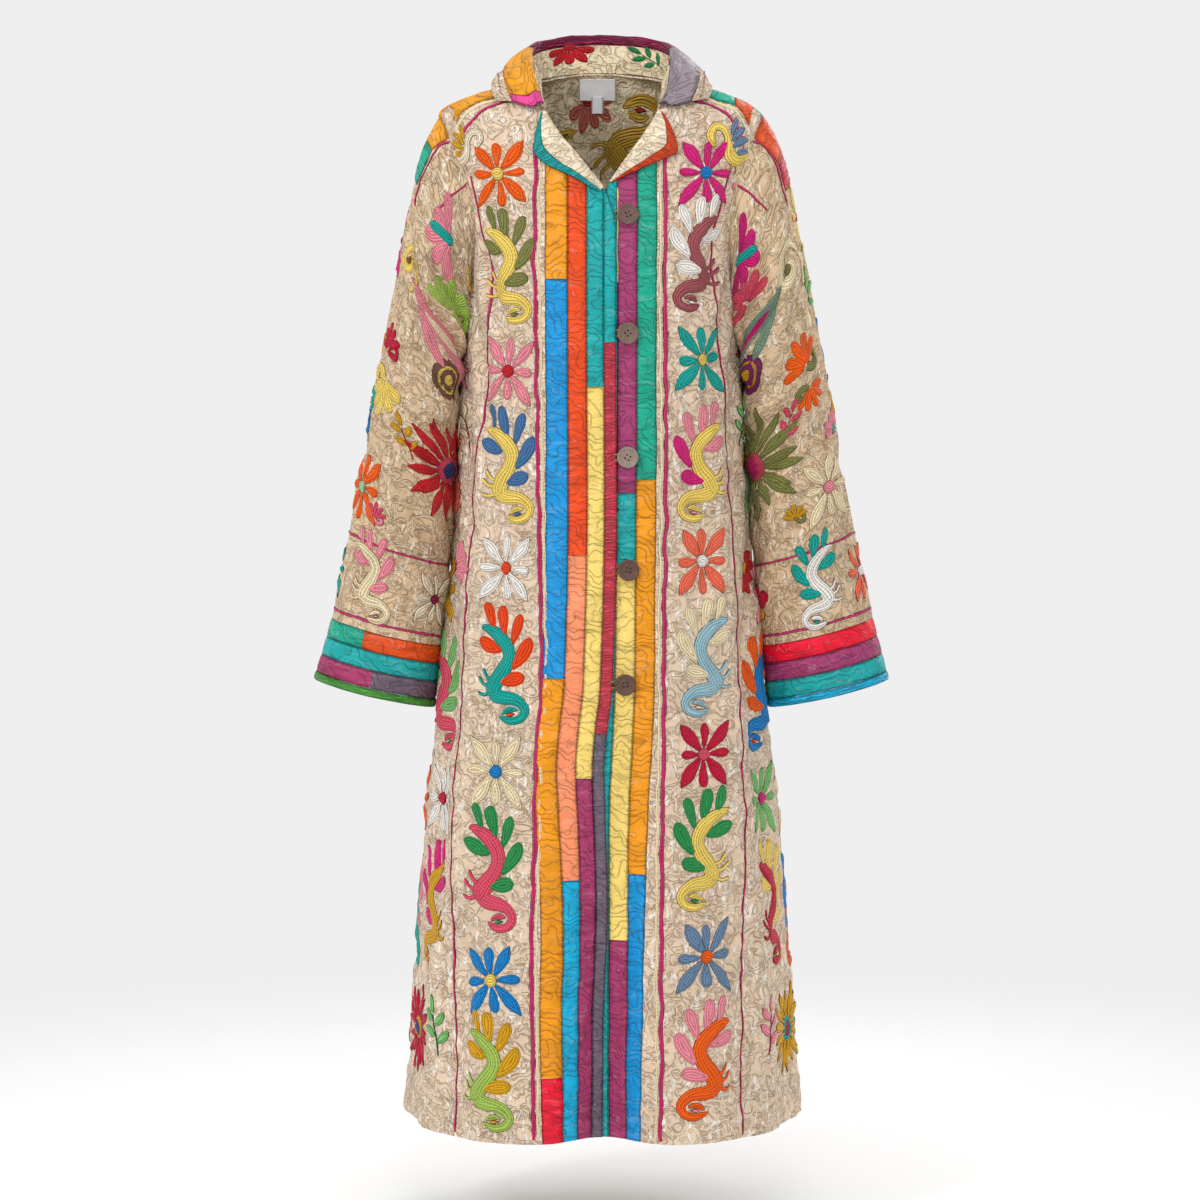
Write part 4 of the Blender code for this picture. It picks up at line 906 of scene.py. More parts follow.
def build_back():
    z = panel_heights()
    outer, inner, uv = [], [], []
    for side in (-1, 1):
        first = run_from_angle(side, panel_edge(z, back=True), z) + SEAM_GAP / 2
        last = run_from_angle(side, 180.0, z)
        runs = first[:, None] + (last - first)[:, None] * np.linspace(0, 1, BACK_POINTS)
        heights = np.repeat(z[:, None], BACK_POINTS, axis=1)
        outer.append(body_cloth(side, runs, heights, 0.0 * runs))
        inner.append(body_cloth(side, runs, heights, 0.0 * runs - CLOTH))
        uv.append(np.stack([side * (runs - last[:, None]), heights], axis=-1))
    join = [np.concatenate([pair[0], pair[1][:, ::-1][:, 1:]], axis=1) for pair in (outer, inner, uv)]
    middle = BACK_POINTS - 1
    for grid, other in ((join[0], outer), (join[1], inner)):
        grid[:, middle] = (other[0][:, -1] + other[1][:, -1]) / 2
    return shell("back", *join, GROUND, ("back",), "ground_cloth", lining=REVERSE)


build_front("right_front", -1, RIGHT_STRIPS[-1][2])
build_front("left_front", 1, LEFT_STRIPS[-1][2])
build_back()

# %% [markdown]
# ## Patchwork strips down the fronts
# A strip bulges a little between its two seams. Each colour is a piece of its own.

# %% the front strips
def strip_top(side, distance):
    """How high a line of the front runs before the cloth turns back."""
    z = np.linspace(-0.20, -0.02, 181)
    inside = edge_run(side, z) + distance < rolled_run(side, z)
    return float(z[inside.argmax()]) if inside.any() else float(z[-1])


def build_strip(side, spec):
    name, inner, outer, thickness, breaks, colours = spec
    across = 8
    distances = inner + SEAM_GAP / 2 + (outer - inner - SEAM_GAP) * np.linspace(0, 1, across)
    tops = np.array([strip_top(side, d) - 0.002 for d in distances])
    for index, colour in enumerate(colours):
        low = breaks[index] + (SEAM_GAP / 2 if index else 0)
        highs = np.minimum(breaks[index + 1] - SEAM_GAP / 2, tops)
        count = max(6, int((highs.min() - low) / 0.0042))
        share = np.linspace(0, 1, count)[:, None]
        heights = low + (highs - low) * share
        runs = edge_run(side, heights) + distances
        layer = front_layer(side, sideways(side, runs, heights))
        bulge = 1 - np.abs(np.linspace(-1, 1, across)) ** 5
        wrinkle = ripple(runs * 0.5, heights, 0.016, 61 + index, 11) * 0.00055
        wrinkle += (1 - np.abs(ripple(runs, heights * 1.3, 0.022, 71 + index, 9))) * 0.0006
        lifts = layer + (thickness - CLOTH) / 2 + (wrinkle + 0.0004) * bulge
        edge = np.minimum(distances - distances[0], distances[-1] - distances) + 0 * heights
        edge = np.minimum(edge, np.abs(heights - highs))
        piece = name if len(colours) == 1 else f"{name}_{index + 1}"
        ribbed = name == "right_edge_binding" and colour == "crimson"
        look = RIBBED[colour] if ribbed else PATCH[colour]
        body_shell(piece, side, runs, heights, lifts, look, (piece,), f"{colour}_cloth", thickness,
                   edge=edge)


for side, strips in ((-1, RIGHT_STRIPS), (1, LEFT_STRIPS)):
    for spec in strips:
        build_strip(side, spec)


def build_shoulder_strip(name, side, colour):
    """The strip over the shoulder seam, with the armhole's curve at its outer end."""
    points = 17
    low = np.linspace(armhole_angle(CORNER) + 0.3, armhole_angle(CORNER, back=True) - 0.5, points)
    reach = np.where(low < 90, ARMHOLE_FRONT_DEG, ARMHOLE_BACK_DEG)
    rim = ARM_MIDDLE + ARM_HALF * np.sqrt(1 - ((low - 90) / reach) ** 2)
    levels = np.linspace(CORNER, NECK_EDGE_Z, 30)
    angles, heights = [], []
    for level in levels:
        limit, at = (shoulder_strip_angle, level) if level > CORNER + 0.001 else (armhole_angle, CORNER)
        angles.append(np.linspace(limit(at) + 0.2, limit(at, True) - 0.3, points))
        heights.append(np.maximum(level, rim + (level - CORNER) * 0.12))
    angles, heights = np.array(angles), np.array(heights)
    runs = run_from_angle(side, angles, heights)
    lifts = 0.0006 * (1 - np.abs(np.linspace(-1, 1, points)) ** 4) + 0 * heights
    share = np.minimum(np.linspace(0, 1, points), np.linspace(1, 0, points))
    body_shell(name, side, runs, heights, lifts, PATCH[colour], (name,), f"{colour}_cloth",
               edge=share * 2 * SHOULDER_STRIP_HALF + 0 * heights)


build_shoulder_strip("right_shoulder_strip", -1, "marigold")
build_shoulder_strip("left_shoulder_strip", 1, "green")

# %% [markdown]
# ## Sleeves and cuffs

# %% sleeves
SLEEVE_POINTS = 120


def sleeve_shell(name, side, places, turns, look, nodes, slot, thickness=CLOTH, wrap=True, lift=0.0,
                 lining=None, edge=None):
    turns_grid, t_grid = np.meshgrid(turns, places)
    grow = (thickness - CLOTH) / 2 + lift
    outer = sleeve_cloth(side, turns_grid, t_grid, grow + 0 * t_grid)
    inner = sleeve_cloth(side, turns_grid, t_grid, grow - thickness + 0 * t_grid)
    ring = np.concatenate([turns, [turns[0] + 360]]) if wrap else turns
    around, along = np.meshgrid(ring, places)
    uv = np.stack([np.radians(around) * SLEEVE_RADIUS * -side, -along * SLEEVE_LENGTH], axis=-1)
    return shell(name, outer, inner, uv, look, nodes, slot, wrap=wrap, lining=lining, edge=edge)


def build_sleeve(name, side):
    turns = 360 * np.arange(SLEEVE_POINTS) / SLEEVE_POINTS
    tucked = np.array([-0.026, -0.016, -0.006])
    places = np.concatenate([tucked, np.linspace(0, 0.05, 10)[:-1], np.linspace(0.05, CUFF_START, 146)])
    sleeve_shell(name, side, places, turns, SLEEVE_GROUND, (name,), "ground_cloth", lining=REVERSE)


def build_cuff(name, side, level, look, slot, thickness=CLOTH, span=None):
    """One ring of the cuff, or the part of it between two angles."""
    places = np.linspace(CUFF_LINES[level] + CUFF_GAP, CUFF_LINES[level + 1] - CUFF_GAP, 8)
    if span is None:
        turns = 360 * np.arange(SLEEVE_POINTS) / SLEEVE_POINTS
    else:
        turns = np.linspace(span[0] + 0.15, span[1] - 0.15, 60)
    wide = np.repeat(places[:, None], len(turns), axis=1)
    edge = np.minimum(wide - places[0], places[-1] - wide) * SLEEVE_LENGTH
    share = (wide - places[0]) / (places[-1] - places[0])
    bulge = 0.0009 * (1 - np.abs(share * 2 - 1) ** 4)
    sleeve_shell(name, side, places, turns, look, (name,), slot, thickness, wrap=span is None,
                 lift=bulge, edge=edge)


for sleeve_name, sleeve_side in (("right_sleeve", -1), ("left_sleeve", 1)):
    build_sleeve(sleeve_name, sleeve_side)
for part, side, level, look, slot, span in (
        ("right_cuff_top_1", -1, 0, "green", "green", (-90, 72)),
        ("right_cuff_top_2", -1, 0, "rust", "orange", (72, 270)),
        ("right_cuff_middle", -1, 1, "teal", "teal", None),
        ("right_cuff_lower_1", -1, 2, "burgundy", "burgundy", (-90, 90)),
        ("right_cuff_lower_2", -1, 2, "grey", "grey", (90, 270)),
        ("right_cuff_binding", -1, 3, "leaf", "leaf", None),
        ("left_cuff_top", 1, 0, "red", "red", None), ("left_cuff_middle", 1, 1, "plum", "plum", None),
        ("left_cuff_lower", 1, 2, "teal", "teal", None), ("left_cuff_binding", 1, 3, "cyan", "cyan", None)):
    bound = part.endswith("binding")
    build_cuff(part, side, level, (RIBBED if bound else PATCH)[look], f"{slot}_cloth",
               BINDING if bound else CLOTH, span)

# %% [markdown]
# ## The collar and lapels
# The collar stands up from the neck edge, rolls over and falls. Its patchwork strip lies over
# the roll. The lapels are the fronts' own cream facings, turned back.

# %% collar
def neck_edge(side, turn):
    """The neckline, from the collar's front end round to the middle of the back."""
    first = angle_from_u(side, roll_line(side, NECK_EDGE_Z), NECK_EDGE_Z)
    share = np.clip((turn - COLLAR_FRONT_SHARE) / (1 - COLLAR_FRONT_SHARE), 0, 1)
    z = NECK_EDGE_Z + (COLLAR_END_Z - NECK_EDGE_Z) * (1 - np.minimum(turn / COLLAR_FRONT_SHARE, 1))
    front = angle_from_u(side, roll_line(side, z), z)
    angle = np.where(turn >= COLLAR_FRONT_SHARE, first + (180 - first) * share, front)
    return body_point(side, angle, z)


def collar_lines(side, turn):
    """The nine lines across the collar: the stand, the roll and the fall."""
    at = {n: column(COLLAR_ROWS, COLLAR_COLUMNS, n, turn) for n in COLLAR_COLUMNS[1:]}
    roll, edge = (np.stack([side * at[f"{n}_x"], at[f"{n}_y"], at[f"{n}_z"]], axis=-1)
                  for n in ("roll", "edge"))
    up = np.array([0, 0, 1.0])
    seam = neck_edge(side, turn) + up * COLLAR_SEAM_LIFT
    out = edge - roll
    out[..., 2] = 0
    out = unit(out)
    down = roll + out * COLLAR_ROLL_ROUND * 2.6 - up * 0.0035
    return np.stack([
        seam, seam + (roll - seam) * 0.40, seam + (roll - seam) * 0.80, roll,
        roll + out * COLLAR_ROLL_ROUND + up * 0.0010, down,
        down + (edge - down) * 0.45 + out * 0.004 + up * 0.0020,
        down + (edge - down) * 0.75 + out * 0.003 + up * 0.0015, edge], axis=1)


def through(lines, per=8):
    """Smooth points between the lines across the collar, on a curve through all of them."""
    count = lines.shape[1]
    before, after = 2 * lines[:, :1] - lines[:, 1:2], 2 * lines[:, -1:] - lines[:, -2:-1]
    padded = np.concatenate([before, lines, after], axis=1)
    out = []
    for place in np.linspace(0, count - 1, (count - 1) * per + 1):
        i = min(int(place), count - 2)
        out.append(spline(*(padded[:, i + k] for k in range(4)), place - i))
    return np.stack(out, axis=1)


PER = 8
COLLAR_SPANS = 8
STAND_TOP, FALL_TOP = 1.9, 6.0
turns_half = np.linspace(0, 1, 96)
right_lines = collar_lines(-1, turns_half)
left_lines = collar_lines(1, turns_half)[::-1][1:]
collar_outer = through(np.concatenate([right_lines, left_lines]), PER)
collar_normal = unit(np.cross(np.gradient(collar_outer, axis=0), np.gradient(collar_outer, axis=1)))
stations, crossing = collar_outer.shape[:2]
collar_u = np.linspace(0, COLLAR_LENGTH, stations)[:, None] + np.zeros((1, crossing))
collar_v = np.linspace(0, COLLAR_WIDTH, crossing)[None] + np.zeros((stations, 1))
row_share = np.linspace(0, COLLAR_SPANS, crossing)[None]
edge_calm = ease(row_share, 0, 0.6) * ease(COLLAR_SPANS - row_share, 0, 0.3)
swell = puckers(collar_u, collar_v, 83) * 0.8 * edge_calm
swell -= 0.0022 * np.exp(-(((collar_u - 0.075 - collar_v * 0.35) / 0.010) ** 2)) * ease(row_share, 3, 6)
swell -= 0.0020 * np.exp(-(((collar_u - 0.390 + collar_v * 0.30) / 0.011) ** 2)) * ease(row_share, 3, 6)
collar_outer = collar_outer + collar_normal * swell[..., None]
collar_inner = collar_outer - collar_normal * CLOTH
print("collar points:", collar_outer.shape[:2])


def collar_piece(name, first, last, start, stop, look, slot, lining=None):
    """Part of the collar: from one line across to another, and between two stations."""
    rows = slice(int(round(first * PER)), int(round(last * PER)) + 1)
    outer = collar_outer[start:stop, rows].transpose(1, 0, 2).copy()
    inner = collar_inner[start:stop, rows].transpose(1, 0, 2).copy()
    for grid in (outer, inner):
        for view in (grid, grid.transpose(1, 0, 2)):
            for end, beside in ((0, 1), (-1, -2)):
                view[end] = view[end] + unit(view[beside] - view[end]) * 0.0002
    uv = np.stack([collar_u[start:stop, rows].T, collar_v[start:stop, rows].T], axis=-1)
    share = np.linspace(0, 1, outer.shape[0])[:, None]
    along = np.linspace(0, 1, outer.shape[1])[None]
    edge = np.minimum(np.minimum(share, 1 - share) * 0.026, np.minimum(along, 1 - along) * 0.2)
    return shell(name, outer, inner, uv, look, (name,), slot, lining=lining, edge=edge)


collar_piece("collar_stand", 0, STAND_TOP, 0, stations, REVERSE, "ground_cloth")
collar_piece("collar_fall", FALL_TOP, COLLAR_SPANS, 0, stations, GROUND, "ground_cloth", lining=REVERSE)
cuts = [int(round(stations * f)) for f in (0.0, 0.05, 0.285, 0.715, 1.0)]
STRIP_DYES = {"magenta": "magenta", "mustard": "mustard", "maroon": "maroon", "grey": "mauve"}
for (colour, dye), start, stop in zip(STRIP_DYES.items(), cuts, cuts[1:]):
    look = RIBBED[dye] if dye == "maroon" else PATCH[dye]
    collar_piece(f"collar_strip_{colour}", STAND_TOP, FALL_TOP, start, min(stop + 1, stations), look,
                 f"{dye}_cloth")

# %% lapels
def build_lapel(name, side, rows, first, last, across, look, slot):
    """A share of the width of the turned-back facing, from the roll line to its free edge."""
    share = np.linspace(0, 1, 64)[:, None]
    f = np.linspace(first, last, across)[None]
    roll_z = column(rows, LAPEL_COLUMNS, "roll_z", share)
    edge_u = column(rows, LAPEL_COLUMNS, "edge_u", share)
    edge_z = column(rows, LAPEL_COLUMNS, "edge_z", share)
    roll_u = roll_line(side, roll_z) + 0.0006
    u, z = roll_u + (edge_u - roll_u) * f, roll_z + (edge_z - roll_z) * f
    spread = np.minimum(1.0, (np.abs(edge_u - roll_u) + np.abs(edge_z - roll_z)) / 0.03)
    lift = smooth([p[0] for p in LAPEL_LIFTS], [p[1] for p in LAPEL_LIFTS], f + 0 * share)
    lift = LAPEL_LIFTS[0][1] + (lift - LAPEL_LIFTS[0][1]) * spread
    lift = lift + front_layer(side, u) + (LEFT_LAPEL_CLEAR if side > 0 else 0.0)
    lift = lift + puckers(u, z, 131) * 0.8 * ease(f, 0.0, 0.15)
    angle = angle_from_u(side, u, z)
    outer = body_offset(side, angle, z, lift)
    inner = body_offset(side, angle, z, lift - CLOTH)
    wide = np.linalg.norm(outer - outer[:, :1], axis=-1)
    long = distances_along(outer[:, -1])[:, None]
    uv = np.stack([wide, long + 0 * wide], axis=-1)
    edge = np.minimum(np.abs(f - first), np.abs(last - f)) * 0.05 + 0 * wide
    return shell(name, outer, inner, uv, look, (name,), slot, edge=edge)


LAPEL_GAP = 0.006
for name, side, rows, colour in (("right_lapel", -1, RIGHT_LAPEL_ROWS, "teal"),
                                 ("left_lapel", 1, LEFT_LAPEL_ROWS, "orange")):
    build_lapel(name, side, rows, 0.0, LAPEL_BINDING_SHARE - LAPEL_GAP, 26, CREAM, "cream_cloth")
    build_lapel(f"{name}_binding", side, rows, LAPEL_BINDING_SHARE + LAPEL_GAP, 1.0, 8, RIBBED[colour],
                "cyan_cloth" if colour == "teal" else "orange_cloth")

# %% [markdown]
# ## Buttons, loops and the label
# A button is a turned disc with a raised rim and four holes, on a thread shank. Each sits in a
# loop of cord that comes out from under the right front's edge.

# %% buttons
BUTTONS = ((-0.157, 0.0295, "6d564c"), (-0.290, 0.0290, "7a645a"), (-0.430, 0.0290, "958279"),
           (-0.557, 0.0300, "63493f"), (-0.686, 0.0265, "624a40"))
BUTTON_RADIUS = 0.0122
SHANK_RADIUS = 0.0020
SHANK_HEIGHT = 0.0034
LOOP_CORD = 0.0024
LOOP_TURN_RADIUS = 0.0038
LOOP_STRAIGHT = 0.004
HOLE_OFFSET = 0.0022
HOLE_RADIUS = 0.00115


def button_material(name, colour):
    made, shader, w = material(name, 0.38)
    place = w.node("TexCoord", {}, out=3)
    grain = w.noise(w.stretched(place, 1.0, 5.0, 0.4), 260.0, 4.0, 0.6, 0.6)
    cloud = w.noise(place, 90.0, 2.0)
    dark, mid, bright = (tuple(min(1, c * k) for c in colour) for k in (0.7, 0.8, 1.3))
    tint = (cloud.step(0.4, 0.7) * 0.4).blend(grain.step(0.35, 0.7).blend(dark, bright), mid)
    finish_material(w, shader, tint, grain, 0.0002, 0.5, 0.30 + grain * 0.25)
    return made


def cord_material():
    made, shader, w = material("twisted_cord", 0.8, 0.3)
    place = w.node("TexCoord", {}, out=3)
    strand = w.waves(place, 500.0, 0.5, 1.0, "DIAGONAL")
    # the strands are dark in their grooves and light on their crests: painted shade and painted highlight on
    # the twist
    finish_material(w, shader, strand.blend(linear("6e5a34"), linear("b39a63")), strand, 0.0004, 0.8)
    return made


CORD = cord_material()


def strip_frame(z, u):
    """A frame on the left front's strip: its X runs sideways and its Z stands out."""
    angle = float(angle_from_u(1, u, z))
    lift = float(front_layer(1, u))
    here, beside, above = (body_offset(1, np.array(a), np.array(h), lift) for a, h in (
        (angle, z), (angle + 0.5, z), (angle, z + 0.002)))
    across = Vector(beside - here).normalized()
    outwards = across.cross(Vector(above - here)).normalized()
    made = Matrix((across, outwards.cross(across), outwards)).transposed().to_4x4()
    made.translation = Vector(here)
    return made


print("button size:", BUTTON_RADIUS * 2, "m")


# %% turning and drilling a button
def turned_button(name, sides=56):
    r, base = BUTTON_RADIUS, SHANK_HEIGHT
    profile = ((0.0, base), (0.55 * r, base), (0.90 * r, base + 0.0003), (0.985 * r, base + 0.0008),
               (r, base + 0.0014), (0.985 * r, base + 0.0020), (0.94 * r, base + 0.0024),
               (0.87 * r, base + 0.0025), (0.80 * r, base + 0.0023), (0.74 * r, base + 0.0018),
               (0.66 * r, base + 0.0015), (0.30 * r, base + 0.0013), (0.0, base + 0.0013))
    mesh = bmesh.new()
    line = [mesh.verts.new((x, 0, z)) for x, z in profile]
    edges = [mesh.edges.new(pair) for pair in zip(line, line[1:])]
    bmesh.ops.spin(mesh, geom=line + edges, axis=(0, 0, 1), cent=(0, 0, 0), steps=sides, angle=math.tau)
    bmesh.ops.remove_doubles(mesh, verts=mesh.verts, dist=1e-6)
    bmesh.ops.recalc_face_normals(mesh, faces=mesh.faces)
    made = bpy.data.meshes.new(name)
    mesh.to_mesh(made)
    mesh.free()
    return made


def hole_cutter():
    mesh = bmesh.new()
    for k in range(4):
        turn = math.radians(45 + 90 * k)
        place = Vector((math.cos(turn), math.sin(turn), 0)) * HOLE_OFFSET * math.sqrt(2)
        place.z = SHANK_HEIGHT + 0.001
        bmesh.ops.create_cone(mesh, cap_ends=True, segments=14, radius1=HOLE_RADIUS, radius2=HOLE_RADIUS,
                              depth=0.006, matrix=Matrix.Translation(place))
    made = bpy.data.meshes.new("button_holes")
    mesh.to_mesh(made)
    mesh.free()
    return bpy.data.objects.new("button_holes", made)


cutter = put_in_scene(hole_cutter())
blank = put_in_scene(bpy.data.objects.new("button_blank", turned_button("button_blank")))
holes = blank.modifiers.new("holes", "BOOLEAN")
holes.object = cutter
bpy.context.view_layer.update()
drilled = bpy.data.meshes.new_from_object(blank.evaluated_get(bpy.context.evaluated_depsgraph_get()))
for spare in (blank, cutter):
    bpy.data.objects.remove(spare)


print("button faces:", len(drilled.polygons))


# %% cords, and every button in its place
def tube(name, points, radius, look, matrix, nodes, resolution=4):
    """A round cord or thread along some points."""
    line = bpy.data.curves.new(name, "CURVE")
    line.dimensions = "3D"
    line.bevel_depth = radius
    line.bevel_resolution = resolution
    line.use_fill_caps = True
    spline = line.splines.new("NURBS")
    spline.points.add(len(points) - 1)
    for point, place in zip(spline.points, points):
        point.co = (*place, 1.0)
    spline.use_endpoint_u = True
    spline.order_u = 3
    spline.resolution_u = 6
    line.materials.append(look)
    made = bpy.data.objects.new(name, line)
    made.matrix_world = matrix
    return register(made, nodes)


for number, (z, u, colour) in enumerate(BUTTONS, start=1):
    place = strip_frame(z, u)
    mesh = drilled.copy()
    mesh.materials.clear()
    mesh.materials.append(button_material(f"button_look_{number}", linear(colour)))
    mesh.shade_smooth()
    mesh.set_sharp_from_angle(angle=math.radians(38))
    button = bpy.data.objects.new(f"coat_button_{number}", mesh)
    turned = Matrix.Rotation(0.35 * number, 4, "Z")
    button.matrix_world = place @ Matrix.Translation((0, 0, 0.0006)) @ turned
    register(button, (f"button_{number}",))
    shank = [(0, 0, -0.0004), (0, 0, SHANK_HEIGHT + 0.0010)]
    tube(f"button_shank_{number}", shank, SHANK_RADIUS * 0.8, CORD, place, ())
    start = -float(front_edge(-1, z)) - 0.0030 - u
    half, height = LOOP_TURN_RADIUS, LOOP_CORD / 2 + 0.0006
    path = [(start, half * 0.8, height + 0.0012), (start + LOOP_STRAIGHT, half * 0.95, height)]
    path += [(half * math.cos(a), half * math.sin(a), height) for a in np.radians(np.linspace(90, -90, 9))]
    path += [(x, -y, z) for x, y, z in path[1::-1]]
    tube(f"cord_loop_{number}", path, LOOP_CORD / 2, CORD, place, (f"button_loop_{number}",))
print("buttons:", len(BUTTONS))

# %% label
def build_label(name, width, top, low, depth, thickness=0.0006):
    across = -0.005 + np.linspace(-width / 2, width / 2, 15)
    z = np.minimum(np.linspace(low, top, 9) - BACK_NECK_RISE, NECK_EDGE_Z)
    u, z = np.meshgrid(across, z)
    half = column(BODY_ROWS, BODY_COLUMNS, "half_width", z)
    angle = 180 - np.degrees(np.arcsin((np.abs(u) / half) ** (SECTION_POWER / 2))) * np.sign(u)
    crease = 0.0004 * np.sin(u * 210) * np.sin(z * 150)
    outer = body_offset(1, angle, z, crease - depth)
    inner = body_offset(1, angle, z, crease - depth - thickness)
    share = np.linspace(0, 1, 15)[None]
    edge = np.minimum(share, 1 - share) * width + 0 * z
    shell(name, outer, inner, np.stack([u, z], axis=-1), LABEL, (name,), "label_cloth", edge=edge)


build_label("neck_label", 0.044, 0.0100, -0.0120, CLOTH + 0.0022)
build_label("size_tab", 0.014, -0.0085, -0.0240, CLOTH + 0.0034)

# %% [markdown]
# ## Embroidery
# The flowers, birds and leaves are filled with rows of chain stitch that run along each shape.
# A shape is one stroke: a line with a width, raised in a soft dome under two millimetres high,
# with its border tucked into the cloth. Drawn flat first, then laid on the body, sleeve or collar.

# %% strokes of stitches
def curve(points, count):
    """Smooth points through a few given ones. Extra columns, such as a width, go along too."""
    points = np.asarray(points, float)
    padded = np.concatenate([2 * points[:1] - points[1:2], points, 2 * points[-1:] - points[-2:-1]])
    place = np.linspace(0, len(points) - 1, count)
    i = np.minimum(place.astype(int), len(points) - 2)
    return spline(*(padded[i + k] for k in range(4)), (place - i)[:, None])


DOME = 0.0017
DOME_TUCK = 0.0004
FULL_DOME_HALF = 0.0020


class Stitches:
    """Stitched shapes that become one piece, laid on the cloth by a place function."""

    def __init__(self, name, place, height=DOME):
        self.name, self.place, self.height = name, place, height
        self.flat, self.thread, self.dye, self.faces, self.count = [], [], [], [], 0

    def stroke(self, line, half_widths, dye, across=6, lift=0.0, height=None):
        line, half = np.asarray(line, float), np.asarray(half_widths, float)[:, None]
        height = self.height if height is None else height
        step = np.gradient(line, axis=0)
        normal = unit(np.stack([-step[:, 1], step[:, 0]], axis=-1))
        a = np.linspace(-1, 1, across + 1)[None]
        grid = line[:, None] + normal[:, None] * (half * a)[..., None]
        run = distances_along(line)[:, None]
        full = np.minimum(1.0, half / FULL_DOME_HALF)
        dome = (height * (1 - np.abs(a) ** 3.0) * full) - DOME_TUCK * np.abs(a) ** 3 + lift
        end = np.minimum(np.arange(len(line)), np.arange(len(line))[::-1])[:, None]
        dome = np.where(end == 0, lift - DOME_TUCK, dome)
        self.flat.append(np.concatenate([grid, dome[..., None]], axis=-1).reshape(-1, 3))
        self.thread.append(np.stack([half * (1 - np.abs(a)), run + 0 * a], axis=-1).reshape(-1, 2))
        self.dye.append(np.tile([*deep(dye), 1.0], (dome.size, 1)))
        self.faces.append(quads(self.count + np.arange(dome.size).reshape(dome.shape)))
        self.count += dome.size

    def sew(self):
        flat = np.concatenate(self.flat)
        points = self.place(flat[:, 0], flat[:, 1], flat[:, 2])
        faces, thread = np.concatenate(self.faces), np.concatenate(self.thread)
        mesh = bpy.data.meshes.new(self.name)
        mesh.from_pydata(points.tolist(), [], faces.tolist())
        layer = mesh.uv_layers.new(name="thread")
        layer.data.foreach_set("uv", thread[faces.ravel()].ravel().astype(np.float32))
        dye = mesh.color_attributes.new("dye", "FLOAT_COLOR", "POINT")
        dye.data.foreach_set("color", np.concatenate(self.dye).ravel().astype(np.float32))
        mesh.materials.append(THREAD)
        mesh.shade_smooth()
        piece = register(bpy.data.objects.new(self.name, mesh), ())
        print(self.name, "shapes:", len(self.flat), "faces:", len(faces))
        return piece


print("dome height:", DOME, "m")

# %% drawing a motif in millimetres
POINTED_PETAL = ((0.0, 0.32), (0.20, 0.64), (0.40, 0.92), (0.57, 1.0), (0.74, 0.82), (0.88, 0.46),
                 (1.0, 0.04))
ROUND_PETAL = ((0.0, 0.30), (0.25, 0.62), (0.50, 0.88), (0.72, 1.0), (0.88, 0.82), (0.97, 0.45),
               (1.0, 0.08))


class Pattern:
    """Where one motif goes: its middle, its turn and its size. Drawn in millimetres."""

    def __init__(self, stitches, x, y, size=1.0, turn=0.0, mirror=False):
        self.stitches, self.middle = stitches, np.array([x, y])
        self.size = size * 0.001
        c, s = math.cos(math.radians(turn)), math.sin(math.radians(turn))
        self.turn = np.array([[c, s], [-s, c]]) * [[-1.0 if mirror else 1.0], [1.0]]

    def draw(self, points, dye, count=None, lift=0.0, across=6, height=None):
        """One stroke through rows of x, y and half width."""
        rows = np.asarray(points, float)
        length = step_lengths(rows[:, :2]).sum()
        made = curve(rows, count or int(max(9, length / 2.5)))
        line = made[:, :2] @ self.turn * self.size + self.middle
        self.stitches.stroke(line, np.maximum(made[:, 2], 0.25) * self.size, dye, across, lift, height)

    def disc(self, x, y, radius, dye, lift=0.0, height=None):
        at = radius * np.sin(np.linspace(-math.pi / 2, math.pi / 2, 15))
        line = np.stack([x + at, y + 0 * at], axis=-1) @ self.turn * self.size + self.middle
        half = np.sqrt(np.maximum(radius ** 2 - at ** 2, 0.04))
        self.stitches.stroke(line, half * self.size, dye, 8, lift, height)

    def petal(self, angle, near, far, half, dye, pointed=False, bend=0.0, lift=0.0):
        """A petal that grows away from the middle."""
        turn = math.radians(angle)
        along = np.array([math.cos(turn), math.sin(turn)])
        aside = np.array([-along[1], along[0]])
        rows = []
        for share, width in POINTED_PETAL if pointed else ROUND_PETAL:
            at = along * (near + (far - near) * share) + aside * bend * (share ** 2)
            rows.append((*at, half * width))
        self.draw(rows, dye, lift=lift)


print("stitch tools ready")

# %% [markdown]
# ## The motifs
# All are old folk shapes: an eight-petalled flower, a curling bird with fanned leaves, a sun, half
# flowers, a sprig, a fan of leaves, a spiral, a feather, a small standing bird, and a bird that is
# one curved wing over a ringed disc. A table names a motif's kind, place, threads and size.

# %% flower, bird and sun
FLOWER_PETALS = ((0, 33, 6.2, False), (47, 49, 7.8, True), (90, 37, 6.8, False), (133, 48, 7.8, True),
                 (180, 33, 6.4, False), (226, 49, 7.8, True), (270, 36, 6.8, False), (313, 51, 8.0, True))
BIRD_BODY = ((-30, 47, 2.0), (-20, 44, 6.0), (-8, 37, 8.2), (3, 26, 8.8), (7, 13, 9.0), (1, -1, 9.2),
             (-8, -13, 9.8), (-14, -24, 9.8), (-14, -32, 4.6))
BIRD_NECK = ((-18, -21, 5.0), (-11, -29, 8.8), (0, -32, 8.6), (12, -33, 7.8), (21, -37, 6.8), (27, -45, 6.0),
             (23, -54, 5.2), (12, -58, 4.8), (1, -56, 3.8), (-5, -53, 0.9))
BIRD_HEAD = ((19, -46, 1.0), (12, -45, 3.4), (5, -47, 3.4), (-1, -51, 1.2))
BIRD_EYE = ((5, -51.5, 0.4), (10, -51, 2.3), (16, -50, 0.4))
